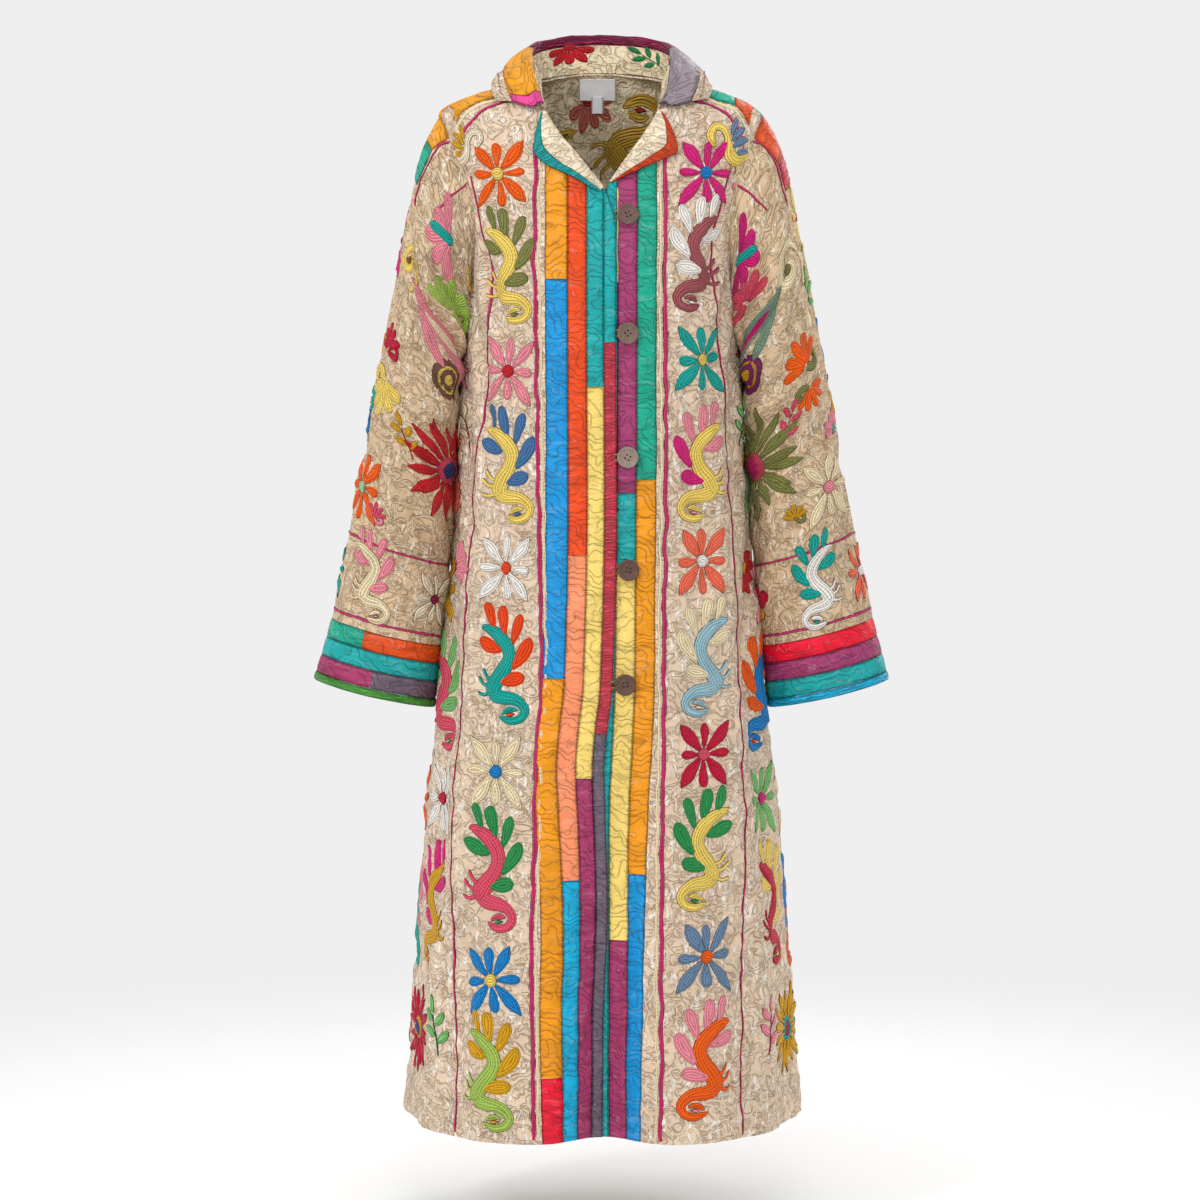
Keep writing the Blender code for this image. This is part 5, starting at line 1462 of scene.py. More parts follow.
BIRD_LEAVES = (
    ((-15, 45, 2.0), (-18, 54, 4.8), (-21, 64, 6.4), (-23, 71, 5.2), (-24, 75, 1.2)),
    ((1, 38, 2.6), (-2, 49, 6.8), (-4, 60, 8.4), (-5, 68, 6.8), (-6, 72, 1.2)),
    ((10, 28, 2.4), (14, 40, 6.2), (18, 51, 7.8), (21, 59, 6.0), (22, 63, 1.2)),
    ((11, 0, 2.6), (19, 10, 7.4), (26, 20, 9.4), (31, 30, 8.0), (33, 37, 1.4)),
    ((-3, 20, 2.4), (-14, 23, 7.2), (-23, 27, 8.8), (-30, 31, 6.6), (-34, 33, 1.2)),
    ((-6, -15, 2.4), (4, -13, 7.2), (14, -11, 9.2), (23, -9, 7.4), (28, -8, 1.4)),
)
BIRD_CLAWS = (
    ((-15, -14, 3.4), (-22, -10, 2.4), (-26, -4, 2.4), (-27, 1, 0.7)),
    ((-18, -20, 3.0), (-26, -18, 2.2), (-31, -13, 2.4), (-33, -9, 0.7)),
    ((-18, -27, 3.0), (-25, -30, 2.2), (-31, -29, 2.2), (-34, -26, 0.7)),
)


CREST_WING = ((-78, 60, 0.8), (-65, 56, 5.4), (-48, 48, 9.8), (-27, 37, 13.6), (-5, 24, 15.4),
              (14, 10, 13.6), (27, -5, 9.6), (31, -18, 5.0))
CREST_TAIL = ((-52, 43, 3.0), (-41, 28, 8.0), (-31, 12, 9.4), (-20, -3, 8.0), (-8, -16, 3.0))
CREST_STRIPE = ((-44, 45, 0.8), (-31, 38, 5.4), (-16, 29, 7.4), (0, 19, 6.0), (12, 11, 0.8))
PERCHED_BODY = ((-26, -10, 3.0), (-16, -15, 7.6), (-4, -16, 9.4), (7, -8, 8.6), (9, 6, 6.4), (9, 18, 5.6),
                (14, 30, 5.8), (24, 33, 6.0), (31, 25, 6.4), (29, 14, 4.4), (27, 8, 1.0))
PERCHED_LEAVES = (
    ((3, 2, 2.0), (-8, 6, 6.0), (-18, 8, 6.4), (-28, 7, 0.8)),
    ((3, 10, 2.0), (-7, 17, 5.4), (-15, 22, 5.8), (-23, 25, 0.8)),
    ((0, -8, 2.0), (-10, -8, 5.6), (-20, -9, 5.8), (-30, -12, 0.8)),
    ((2, 18, 1.6), (-4, 27, 5.0), (-8, 34, 5.0), (-11, 41, 0.8)),
)
PERCHED_LEGS = (((2, -14, 2.0), (7, -24, 1.8), (13, -30, 0.6)),
                ((-4, -18, 2.0), (-2, -28, 1.8), (1, -35, 0.6)))


def flower(pattern, petals, middle):
    rng = np.random.default_rng(int(abs(pattern.middle).sum() * 1e5))
    for index, (angle, far, half, pointed) in enumerate(FLOWER_PETALS):
        if pointed:
            bend = (4.0 if index % 4 == 1 else -4.0) * rng.uniform(0.2, 1.4)
        else:
            bend = rng.uniform(-2, 2)
        pattern.petal(angle + rng.uniform(-4, 4), 6.5, far * rng.uniform(0.90, 1.06),
                      half * rng.uniform(0.9, 1.14), petals, pointed, bend, 0.0001 * (index % 2))
    pattern.disc(0, 0, 7.6, middle, 0.0006)


def bird(pattern, body, leaves, others=None):
    for index, leaf in enumerate(BIRD_LEAVES):
        pattern.draw(leaf, others if others and index in (3, 5) else leaves)
    for claw in BIRD_CLAWS:
        pattern.draw(claw, body)
    pattern.draw(BIRD_NECK, body, lift=0.0002)
    pattern.draw(BIRD_HEAD, body, lift=0.0002)
    pattern.draw(BIRD_BODY, body, lift=0.0004)
    pattern.draw(BIRD_EYE, leaves, lift=0.0006)


def sun(pattern, rays, ring, middle, radius=68, count=22):
    for index in range(count):
        angle = 360 * index / count + 7 * math.sin(index * 2.1)
        far = radius * (1.0 if index % 2 else 0.86) * (1 + 0.05 * math.sin(index * 1.7))
        pattern.petal(angle, 16, far, radius * 0.100, rays, True, 3.0 * math.sin(index), 0.0001 * (index % 2))
    pattern.disc(0, 0, 19, ring, 0.0003)
    pattern.disc(0, 0, 12, middle, 0.0019, 0.0006)


print("flower petals:", len(FLOWER_PETALS))


# %% the smaller motifs
def half_flower(pattern, petals, middle, start=20, count=5, step=35):
    for index in range(count):
        pattern.petal(start + step * index, 7, 40 if index % 2 else 33, 8.6, petals, index % 2 == 1)
    pattern.disc(0, 0, 8.5, middle, 0.0005)


def sprig(pattern, leaves, stem):
    """A stem with five leaves."""
    pattern.draw(((0, -26, 1.4), (2, -8, 1.5), (-1, 12, 1.4), (0, 24, 0.8)), stem)
    leaf = ((2, 1.2), (9, 5.0), (16, 5.6), (22, 3.0), (25, 0.4))
    for x, y, turn in ((1, -12, 35), (1, -4, 145), (0, 8, 40), (0, 14, 140), (0, 22, 90)):
        c, s = math.cos(math.radians(turn)), math.sin(math.radians(turn))
        pattern.draw([(x + c * d, y + s * d, w) for d, w in leaf], leaves, lift=0.0002)


def crest(pattern, body, wing, ring, middle):
    """A bird seen as one broad wing over a ringed disc."""
    pattern.draw(CREST_WING, body)
    pattern.draw(CREST_TAIL, body, lift=-0.0001)
    pattern.draw(CREST_STRIPE, wing, lift=0.0010)
    pattern.disc(2, -25, 26, ring, 0.0002)
    for radius, dye, lift in ((18, middle, 0.0018), (14, ring, 0.0024), (7.5, middle, 0.0030)):
        pattern.disc(2, -25, radius, dye, lift, 0.0005)


def fan(pattern, leaves, curl, count=5, spread=112):
    """Leaves that fan up from a curl."""
    for index in range(count):
        angle = 90 + spread * (index / (count - 1) - 0.5)
        aside = index - 2
        pattern.petal(angle, 4, 37 - 3 * abs(aside), 6.6, leaves, False, 2.0 * aside, 0.0001 * (index % 2))
    curled = ((0, 2, 4.2), (8, -6, 5.2), (18, -6, 5.2), (20, 3, 4.0), (13, 5, 2.0))
    pattern.draw(curled, curl, lift=0.0004)


def spiral(pattern, dye, middle):
    turn = np.linspace(0, 2.3 * math.pi, 16)
    reach = 26 * (1 - turn / 9.0)
    rows = [(r * math.cos(a), r * math.sin(a), 7.4 * (0.35 + 0.65 * math.sin(math.pi * (i + 1) / 18)))
            for i, (a, r) in enumerate(zip(turn, reach))]
    pattern.draw(rows, dye)
    pattern.draw(((26, 0, 4.0), (29, -14, 4.4), (25, -30, 3.0), (22, -38, 0.6)), dye, lift=-0.0001)
    pattern.disc(-2, 0, 5.5, middle, 0.0004)


def striped_half(pattern, petals, stripe, start=110, count=5, step=38):
    """Half a flower with one bar of another colour lying across it."""
    for index in range(count):
        odd = index % 2
        pattern.petal(start + step * index, 3, 44 - 5 * odd, 9.6, petals, lift=0.0001 * odd)
    middle = math.radians(start + step * (count - 1) / 2 - 14)
    c, s = math.cos(middle), math.sin(middle)
    rows = [(c * d, s * d, w) for d, w in ((-6, 3.5), (4, 6.4), (18, 6.6), (30, 6.0), (38, 1.4))]
    pattern.draw(rows, stripe, lift=0.0010)


def feather(pattern, dye, middle):
    """One large leaf with a heart of another colour."""
    pattern.draw(((-30, 14, 0.5), (-18, 10, 6.6), (-2, 3, 9.6), (14, -6, 7.6), (28, -18, 0.8)), dye)
    pattern.draw(((-17, 9, 0.6), (-8, 6, 3.0), (4, 0, 3.8), (13, -6, 0.6)), middle, lift=0.0008)


def perched(pattern, body, leaves):
    """A small bird that stands upright with its head curled over."""
    for leaf in PERCHED_LEAVES:
        pattern.draw(leaf, leaves)
    for leg in PERCHED_LEGS:
        pattern.draw(leg, body)
    pattern.draw(PERCHED_BODY, body, lift=0.0003)


print("leaves round the small bird:", len(PERCHED_LEAVES))

# %% the list of motifs and the threads
MOTIFS = {
    "perched": perched, "flower": flower, "bird": bird, "sun": sun, "half": half_flower, "sprig": sprig,
    "crest": crest, "fan": fan, "spiral": spiral, "striped": striped_half, "feather": feather,
}
THREADS = {
    "orange": "f2661a", "orange_red": "ee4f16", "olive": "7f8148", "yellow": "f3d572", "pink": "ef93a0",
    "rose": "e2586f", "blue": "1583c9", "white": "f6f2ea", "teal": "12a79c", "cream": "f3e2bb",
    "green": "2f9150", "leaf": "7fbf74", "red": "c62a32", "gold": "dba531", "magenta": "d8337e",
    "rosewood": "a3575c", "coral": "f4745c", "paleblue": "9fc3cf", "crimson": "c3183f", "greyblue": "6f8aa8",
    "ivory": "efe3c9", "mint": "a9d8a4", "burgundy": "8c1f44", "navy": "2d3f77", "brown": "8a5a35",
    "plum": "7f2a63", "denim": "4a74a4", "line_pink": "cc3f72", "greygreen": "7f9c86", "umber": "7d5748",
    "lime": "a8c560", "dull_red": "b3322c", "dull_gold": "c9a24a", "dull_green": "5f7d50",
    "dull_pink": "bd6a5e",
}


def work(stitches, table):
    """Sews a table of motifs: kind, x, y, colours, size, and for some a turn and a mirror."""
    for kind, x, y, colours, *rest in table:
        MOTIFS[kind](Pattern(stitches, x, y, *rest), *(THREADS[c] for c in colours.split()))


print("motifs:", sorted(MOTIFS))

# %% [markdown]
# ## Laying the motifs on the coat
# On the fronts, x is the distance from centre front and y the height. On the back, x is the
# distance from centre back. On a sleeve, x is the true distance round it from its front line, and
# y goes to the hand.

# %% places
class Sleeve:
    """Distances round a sleeve, measured from its front line at every height of it."""

    def __init__(self, side):
        self.side = side
        self.turns, self.levels = np.linspace(-180.0, 540.0, 241), np.linspace(-0.02, 1.02, 53)
        points = sleeve_smooth(side, *np.meshgrid(self.turns, self.levels))
        steps = np.linalg.norm(np.diff(points, axis=1), axis=-1)
        self.runs = np.concatenate([np.zeros((len(self.levels), 1)), np.cumsum(steps, axis=1)], axis=1)
        self.runs -= self.runs[:, np.abs(self.turns - 90.0).argmin()][:, None]

    def row(self, t):
        place = np.clip((np.asarray(t, float) + 0.02) / 1.04 * 52, 0, 51.999)
        low = place.astype(int)
        share = (place - low)[..., None]
        return self.runs[low] * (1 - share) + self.runs[low + 1] * share

    def run(self, angle, t):
        """How far round an angle is, towards the viewer's right."""
        return -self.side * float(np.interp(angle, self.turns, self.row(t)))

    def angle(self, x, t):
        rows, x = self.row(t), -self.side * x
        last = np.clip((rows < x[:, None]).sum(axis=1), 1, len(self.turns) - 1)
        pick = np.arange(len(x))
        low, high = rows[pick, last - 1], rows[pick, last]
        return self.turns[last - 1] + (x - low) / (high - low) * (self.turns[1] - self.turns[0])


SLEEVES = {side: Sleeve(side) for side in (-1, 1)}


def on_front(side):
    def place(x, y, lift):
        run = x * side
        rise = front_layer(side, np.clip(run, 0, 0.07))
        return body_cloth(side, run, y, lift + rise)
    return place


def on_back(x, y, lift, inside=False):
    points = np.empty((len(x), 3))
    for side, chosen in ((1, x <= 0), (-1, x > 0)):
        whole = run_from_angle(side, 180.0, y[chosen])
        depth = -CLOTH - lift[chosen] if inside else lift[chosen]
        points[chosen] = body_cloth(side, whole - np.abs(x[chosen]), y[chosen], depth)
    return points


def on_back_inside(x, y, lift):
    return on_back(x, y, lift, True)


def on_sleeve(side):
    def place(x, y, lift):
        t = -y / SLEEVE_LENGTH
        return sleeve_cloth(side, SLEEVES[side].angle(x, t), t, lift)
    return place


def sleeve_line(side, angles, levels):
    """Points along a sleeve line, given as angles and shares of its length."""
    return [(SLEEVES[side].run(a, t), -t * SLEEVE_LENGTH) for a, t in zip(angles, levels)]


def on_collar(x, y, lift):
    """x runs along the collar in metres, and y across it from one of its nine lines to the next."""
    i = np.clip(x / COLLAR_LENGTH * (stations - 1), 0, stations - 1.001)
    j = np.clip(y * PER, 0, crossing - 1.001)
    i0, j0 = i.astype(int), j.astype(int)
    f, g = (i - i0)[:, None], (j - j0)[:, None]
    at = [collar_outer[i0 + a, j0 + b] for a in (0, 1) for b in (0, 1)]
    point = (at[0] * (1 - g) + at[1] * g) * (1 - f) + (at[2] * (1 - g) + at[3] * g) * f
    return point + collar_normal[i0, j0] * lift[:, None]


print("sleeve round at its top:", round(float(np.ptp(SLEEVES[1].runs[1])) / 2, 3), "m")


# %% lines of stitching
def shoulder_place(side, u, forward):
    """A place this far forward of the shoulder seam, as a distance along the cloth and a height."""
    u, forward = np.broadcast_arrays(np.asarray(u, float), np.asarray(forward, float))
    levels = np.linspace(NECK_EDGE_Z, -0.110, 160)
    runs, heights = np.empty(u.shape), np.empty(u.shape)
    for at in np.ndindex(u.shape):
        angle = angle_from_u(side, u[at], levels)
        depth = -body_point(side, angle, levels)[:, 1]
        turned = side * body_point(side, angle, levels)[:, 0] > u[at] - 0.002
        first = int(turned.argmax())
        heights[at] = np.interp(SHOULDER_STRIP_HALF + forward[at], depth[first:], levels[first:])
        runs[at] = run_from_angle(side, angle_from_u(side, u[at], heights[at]), heights[at])
    return runs, heights


def shoulder_line(side, forward):
    runs, heights = shoulder_place(side, np.linspace(0.104, 0.1835, 14), forward)
    return np.stack([side * runs, heights], axis=-1)


PINK_LINE_HEIGHT = 0.0013
RUNNING_STITCH_HEIGHT = 0.0006


def pink_line(stitches, points, half=0.0021, dye="line_pink", extra=0.0):
    rows = curve(points, max(12, int(step_lengths(points).sum() / 0.006)))
    wobble = 0.0009 * ripple(*rows.T, 0.05, 5) + 0.0003 * ripple(*rows.T, 0.012, 6)
    rows = rows + np.stack([wobble, 0.4 * wobble], axis=-1)
    uneven = half * (1 + 0.15 * ripple(*rows.T, 0.02, 8))
    stitches.stroke(rows, uneven, THREADS[dye], 4, extra, PINK_LINE_HEIGHT)


def running_stitch(stitches, points, dye="ivory", length=0.0032, gap=0.0026, half=0.0005):
    """A line of small separate stitches."""
    rows = curve(points, max(8, int(float(step_lengths(points).sum()) / 0.004)))
    run = distances_along(rows)
    for start in np.arange(0.001, run[-1] - length, length + gap):
        at = np.linspace(start, start + length, 4)
        line = np.stack([np.interp(at, run, rows[:, k]) for k in (0, 1)], axis=-1)
        widths = np.array([0.5, 1, 1, 0.5]) * half
        stitches.stroke(line, widths, THREADS[dye], 2, 0.0002, RUNNING_STITCH_HEIGHT)


print("places ready")

# %% [markdown]
# ## Patches over the shoulders
# More patchwork lies in front of the shoulder seam and goes on over the top of each sleeve. The
# pieces are laid on the cloth that is there already, a millimetre higher.

# %% shoulder patches
def laid_patch(name, place, x, y, look, slot):
    """A thin piece of cloth laid on the coat by a place function."""
    shape = x.shape
    across, down = np.linspace(0, 1, shape[1])[None], np.linspace(0, 1, shape[0])[:, None]
    edge = np.minimum(np.minimum(down, 1 - down) * 0.020, np.minimum(across, 1 - across) * 0.08)
    crown = 0.0012 + 0.0006 * np.minimum(1, edge / 0.003)
    low = place(x.ravel(), y.ravel(), np.full(x.size, 0.0001)).reshape(*shape, 3)
    top = place(x.ravel(), y.ravel(), crown.ravel()).reshape(*shape, 3)
    uv = np.stack([x, y], axis=-1)
    return shell(name, top, low, uv, look, (), slot, edge=edge, held="laid")


def shoulder_patch(name, side, first_u, last_u, near, far, look, slot):
    u = np.linspace(first_u, last_u, 26)[None] + np.zeros((7, 1))
    forward = np.linspace(near, far, 7)[:, None] + np.zeros((1, 26))
    runs, heights = shoulder_place(side, u, forward)
    laid_patch(name, on_front(side), side * runs, heights, look, slot)


def sleeve_patch(name, side, first_deg, last_deg, first_t, last_t, look, slot):
    """A patch over the sleeve's top. Its front edge runs from one angle to another."""
    count = 14
    lines = np.array([
        sleeve_line(side, np.linspace(-25, first_deg + (last_deg - first_deg) * share, count),
                    np.full(count, first_t + (last_t - first_t) * share))
        for share in np.linspace(0, 1, count)])
    laid_patch(name, on_sleeve(side), lines[..., 0], lines[..., 1], look, slot)


for build, part, side, *limits, dye, slot in (
        (shoulder_patch, "right_shoulder_mustard", -1, 0.100, 0.1905, 0.0015, 0.0235, "mustard", "mustard"),
        (shoulder_patch, "left_shoulder_green", 1, 0.100, 0.1520, 0.0015, 0.0225, "green", "green"),
        (shoulder_patch, "left_shoulder_rust", 1, 0.1525, 0.1905, 0.0015, 0.0225, "rust", "orange"),
        (sleeve_patch, "right_sleeve_mustard", -1, 42, 30, 0.001, 0.045, "mustard", "mustard"),
        (sleeve_patch, "right_sleeve_green", -1, 30, 27, 0.046, 0.115, "green", "green"),
        (sleeve_patch, "left_sleeve_rust", 1, 42, 29, 0.001, 0.075, "rust", "orange"),
        (sleeve_patch, "left_sleeve_crimson", 1, 29, 27, 0.076, 0.125, "crimson", "crimson")):
    build(part, side, *limits, PATCH[dye], f"{slot}_cloth")

# %% [markdown]
# ## The fronts' motifs

# %% tables for the fronts
RIGHT_FRONT_MOTIFS = (
    ("flower", -0.1196, -0.11, "orange yellow", 0.98, 3), ("bird", -0.112, -0.219, "yellow olive", 0.98),
    ("flower", -0.11, -0.333, "pink red", 0.98, -4), ("bird", -0.1115, -0.444, "yellow denim", 1.0, 2),
    ("flower", -0.1142, -0.556, "white orange_red", 1.0), ("bird", -0.115, -0.67, "teal orange_red", 1.0),
    ("flower", -0.1251, -0.786, "cream blue", 1.03), ("bird", -0.132, -0.9, "rose green", 1.05, -3),
    ("flower", -0.135, -1.02, "blue yellow", 1.04, 6), ("bird", -0.1405, -1.126, "lime gold", 0.98, -4),
)
LEFT_FRONT_MOTIFS = (
    ("flower", 0.1215, -0.108, "magenta blue", 0.98),
    ("bird", 0.1135, -0.205, "rosewood white", 0.98, 0, True),
    ("flower", 0.119, -0.32, "teal yellow", 0.98, 2),
    ("bird", 0.119, -0.442, "yellow pink magenta", 1.0, 0, True),
    ("flower", 0.1202, -0.548, "coral white", 1.0),
    ("bird", 0.1225, -0.662, "paleblue cream", 1.0, 0, True),
    ("flower", 0.1205, -0.766, "crimson rose", 0.98),
    ("bird", 0.1205, -0.878, "yellow green", 1.02, 0, True),
    ("flower", 0.1265, -0.993, "greyblue orange", 1.04),
    ("bird", 0.1275, -1.112, "orange pink", 1.0, 0, True),
)
RIGHT_SHOULDER_MOTIFS = (
    ("perched", -0.167, -0.082, "ivory gold", 0.74, -12),
)
LEFT_SHOULDER_MOTIFS = (
    ("perched", 0.156, -0.08, "yellow greyblue", 0.86, 12, True),
    ("half", 0.176, -0.116, "pink magenta", 0.55, 190),
)
SIDE_MOTIFS = (
    ("sun", 0.232, -0.325, "pink cream red", 0.62), ("sprig", 0.196, -0.406, "cream rose", 0.8, 12),
    ("bird", 0.238, -0.46, "coral cream", 0.98, 0, True),
    ("half", 0.2, -0.557, "pink burgundy", 0.85, -60), ("flower", 0.256, -0.585, "gold navy", 0.98),
    ("bird", 0.235, -0.706, "rose leaf", 1.05, 5), ("sprig", 0.3, -0.71, "blue teal", 0.9, -8),
    ("flower", 0.232, -0.825, "white crimson", 1.0), ("flower", 0.326, -0.835, "orange teal", 1.0, 10),
    ("bird", 0.245, -0.95, "gold magenta", 1.08, 0, True), ("bird", 0.345, -0.965, "teal pink", 1.05),
    ("sun", 0.3, -1.095, "crimson gold navy", 0.78), ("sprig", 0.226, -1.09, "leaf green", 0.95, 8),
    ("sprig", 0.375, -1.1, "pink rose", 1.0, -6),
)
OTHER_SIDE_MOTIFS = (
    ("sun", 0.24, -0.32, "red gold navy", 0.62), ("sprig", 0.2, -0.4, "leaf green", 0.8, -12),
    ("bird", 0.24, -0.46, "mint gold", 0.98), ("half", 0.204, -0.56, "red gold", 0.85, 240),
    ("flower", 0.258, -0.59, "pink teal", 0.98), ("bird", 0.232, -0.706, "blue orange", 1.05, -5, True),
    ("sprig", 0.302, -0.71, "gold rose", 0.9, 8), ("flower", 0.232, -0.825, "leaf magenta", 1.0),
    ("flower", 0.328, -0.835, "cream red", 1.0, 10), ("bird", 0.248, -0.95, "crimson yellow", 1.08),
    ("bird", 0.345, -0.965, "orange blue", 1.05, 0, True),
    ("sun", 0.3, -1.095, "gold teal burgundy", 0.78), ("sprig", 0.228, -1.09, "pink rose", 0.95, -8),
    ("sprig", 0.375, -1.1, "green leaf", 1.0, 6),
)
RIGHT_FRONT_LINES = (
    ((0.0755, -0.075), (0.0758, -0.105), (0.077, -0.2075), (0.0747, -0.365), (0.0714, -0.5225),
     (0.0694, -0.61), (0.0694, -0.7025), (0.0728, -0.7375), (0.0785, -0.8725), (0.0846, -0.985),
     (0.0892, -1.198)),
    ((0.159, -0.11), (0.153, -0.15), (0.14, -0.205), (0.14, -0.26), (0.142, -0.31), (0.1457, -0.3575),
     (0.1657, -0.5025), (0.173, -0.665), (0.18, -0.74), (0.1867, -0.8725), (0.193, -1.035),
     (0.196, -1.198)),
)
LEFT_FRONT_LINES = (
    ((0.0721, -0.07), (0.0721, -0.115), (0.0731, -0.455), (0.0718, -0.545), (0.0698, -0.725),
     (0.07, -0.8725), (0.0745, -1.04), (0.0787, -1.198)),
    ((0.156, -0.098), (0.148, -0.13), (0.137, -0.185), (0.14, -0.24), (0.1498, -0.3), (0.1575, -0.365),
     (0.1702, -0.4825), (0.1707, -0.59), (0.173, -0.73), (0.1773, -0.87), (0.1825, -1.0475),
     (0.186, -1.198)),
)


print("motifs on the right front:", len(RIGHT_FRONT_MOTIFS) + len(SIDE_MOTIFS))

# %% sewing the fronts
LINE_TOP, LINE_LOW = -0.262, COAT_HEM + 0.002
HEM_STITCH_RISE = 0.040
LINE_HALF_WIDTHS = (0.0029, 0.0017)
BESIDE_LINE = ((-0.0054, 0.0026, "cream", -0.0006), (0.0042, 0.0011, "ivory", -0.0008))
SLIT_ROWS = (0.0178, -0.122, -0.236)


def half_round(side, z):
    """How far it is along the cloth from centre front to centre back."""
    return float(run_from_angle(side, 180.0, z))


def hem_line(first, last):
    return [(x, COAT_HEM + HEM_STITCH_RISE) for x in np.linspace(first, last, 40)]


for side, name, table, shoulder, sides, lines in (
        (-1, "right_front", RIGHT_FRONT_MOTIFS, RIGHT_SHOULDER_MOTIFS, SIDE_MOTIFS, RIGHT_FRONT_LINES),
        (1, "left_front", LEFT_FRONT_MOTIFS, LEFT_SHOULDER_MOTIFS, OTHER_SIDE_MOTIFS, LEFT_FRONT_LINES)):
    embroidery = Stitches(f"{name}_embroidery", on_front(side))
    work(embroidery, table)
    work(embroidery, shoulder)
    work(embroidery, [(kind, side * x, *rest) for kind, x, *rest in sides])
    for line, half in zip(lines, LINE_HALF_WIDTHS):
        pink_line(embroidery, [(side * x, z) for x, z in line], half)
    behind = [(side * 0.64 * half_round(side, z), z) for z in np.linspace(LINE_TOP, LINE_LOW, 14)]
    pink_line(embroidery, behind)
    pink_line(embroidery, shoulder_line(side, 0.033))
    pink_line(embroidery, shoulder_line(side, 0.0265), 0.0024, "cream", -0.0006)
    for aside, half, dye, sunk in BESIDE_LINE:
        pink_line(embroidery, [(side * (x + aside), z) for x, z in lines[0]], half, dye, sunk)
    if side > 0:
        u, top, low = SLIT_ROWS
        slit = [(float(run_from_angle(1, angle_from_u(1, u, z), z)), z) for z in np.linspace(top, low, 12)]
        pink_line(embroidery, slit, 0.0016, "yellow", -0.0004)
    start = 0.062 if side > 0 else 0.084
    running_stitch(embroidery, hem_line(side * start, side * half_round(side, COAT_HEM) * 0.63))
    embroidery.sew()

# %% [markdown]
# ## The back's motifs
# The photograph doesn't show the back, so it repeats the fronts' bands between pink lines.

# %% tables for the back
BACK_MIDDLE = (
    ("sun", 0.0, -0.15, "crimson gold navy", 1.0), ("bird", -0.004, -0.29, "teal orange", 1.1),
    ("flower", 0.0, -0.42, "magenta yellow", 1.12), ("bird", 0.004, -0.545, "gold blue", 1.12, 0, True),
    ("flower", 0.0, -0.675, "white red", 1.15), ("bird", -0.004, -0.805, "rose green", 1.15),
    ("flower", 0.0, -0.935, "blue gold", 1.2), ("sun", 0.0, -1.085, "orange teal burgundy", 1.05),
)
BACK_BAND = (
    ("flower", 0.108, -0.095, "coral navy", 0.95), ("bird", 0.11, -0.205, "leaf gold", 0.98),
    ("flower", 0.112, -0.32, "cream crimson", 1.0), ("bird", 0.116, -0.435, "yellow pink", 1.02),
    ("flower", 0.124, -0.55, "teal orange", 1.05), ("bird", 0.134, -0.67, "crimson cream", 1.1),
    ("flower", 0.138, -0.79, "gold magenta", 1.12), ("bird", 0.148, -0.915, "blue mint", 1.18),
    ("sprig", 0.215, -0.92, "pink rose", 1.0), ("flower", 0.146, -1.045, "pink blue", 1.15),
    ("sprig", 0.226, -1.06, "gold leaf", 1.05, 4),
)
SWAPPED_COLOURS = {
    "coral navy": "orange gold", "leaf gold": "rosewood white", "cream crimson": "blue yellow",
    "yellow pink": "paleblue cream", "teal orange": "pink red", "crimson cream": "green yellow",
}
BACK_LINES = ((0.130, -0.030), (0.36, LINE_TOP))


def other_half(kind, x, z, colours, size, turn=0, mirror=False):
    """The same motif on the back's other half, mirrored, and some in other colours."""
    return kind, -x, z, SWAPPED_COLOURS.get(colours, colours), size, -turn, not mirror


embroidery = Stitches("back_embroidery", on_back)
work(embroidery, BACK_MIDDLE)
work(embroidery, BACK_BAND)
work(embroidery, [other_half(*row) for row in BACK_BAND])
heights = np.linspace(-0.030, LINE_LOW, 16)
for sign in (-1, 1):
    for share, top in BACK_LINES:
        pink_line(embroidery, [(sign * share * half_round(1, z), z) for z in heights if z <= top])
edge = BACK_LINES[-1][0] * half_round(1, COAT_HEM)
running_stitch(embroidery, hem_line(-edge, edge))
embroidery.sew()

inside_work = Stitches("back_inside_embroidery", on_back_inside, 0.0007)
work(inside_work, (
    ("bird", -0.036, -0.105, "dull_gold dull_red", 1.35, 176),
    ("half", 0.016, -0.026, "dull_pink dull_red", 0.85, 160),
    ("feather", 0.052, -0.065, "dull_gold dull_green", 0.8),
    ("half", 0.04, -0.115, "dull_red dull_pink", 0.9, 20),
    ("flower", 0.02, -0.23, "dull_red dull_gold", 1.0),
    ("bird", 0.085, -0.19, "dull_pink dull_gold", 1.0, 0, True),
))
inside_work.sew()

# %% [markdown]
# ## The sleeves' motifs

# %% tables for the sleeves
def at_sleeve(table, side):
    """Angles round the sleeve and shares along it become distances."""
    return [(kind, SLEEVES[side].run(angle, t), -t * SLEEVE_LENGTH, *rest)
            for kind, angle, t, *rest in table]


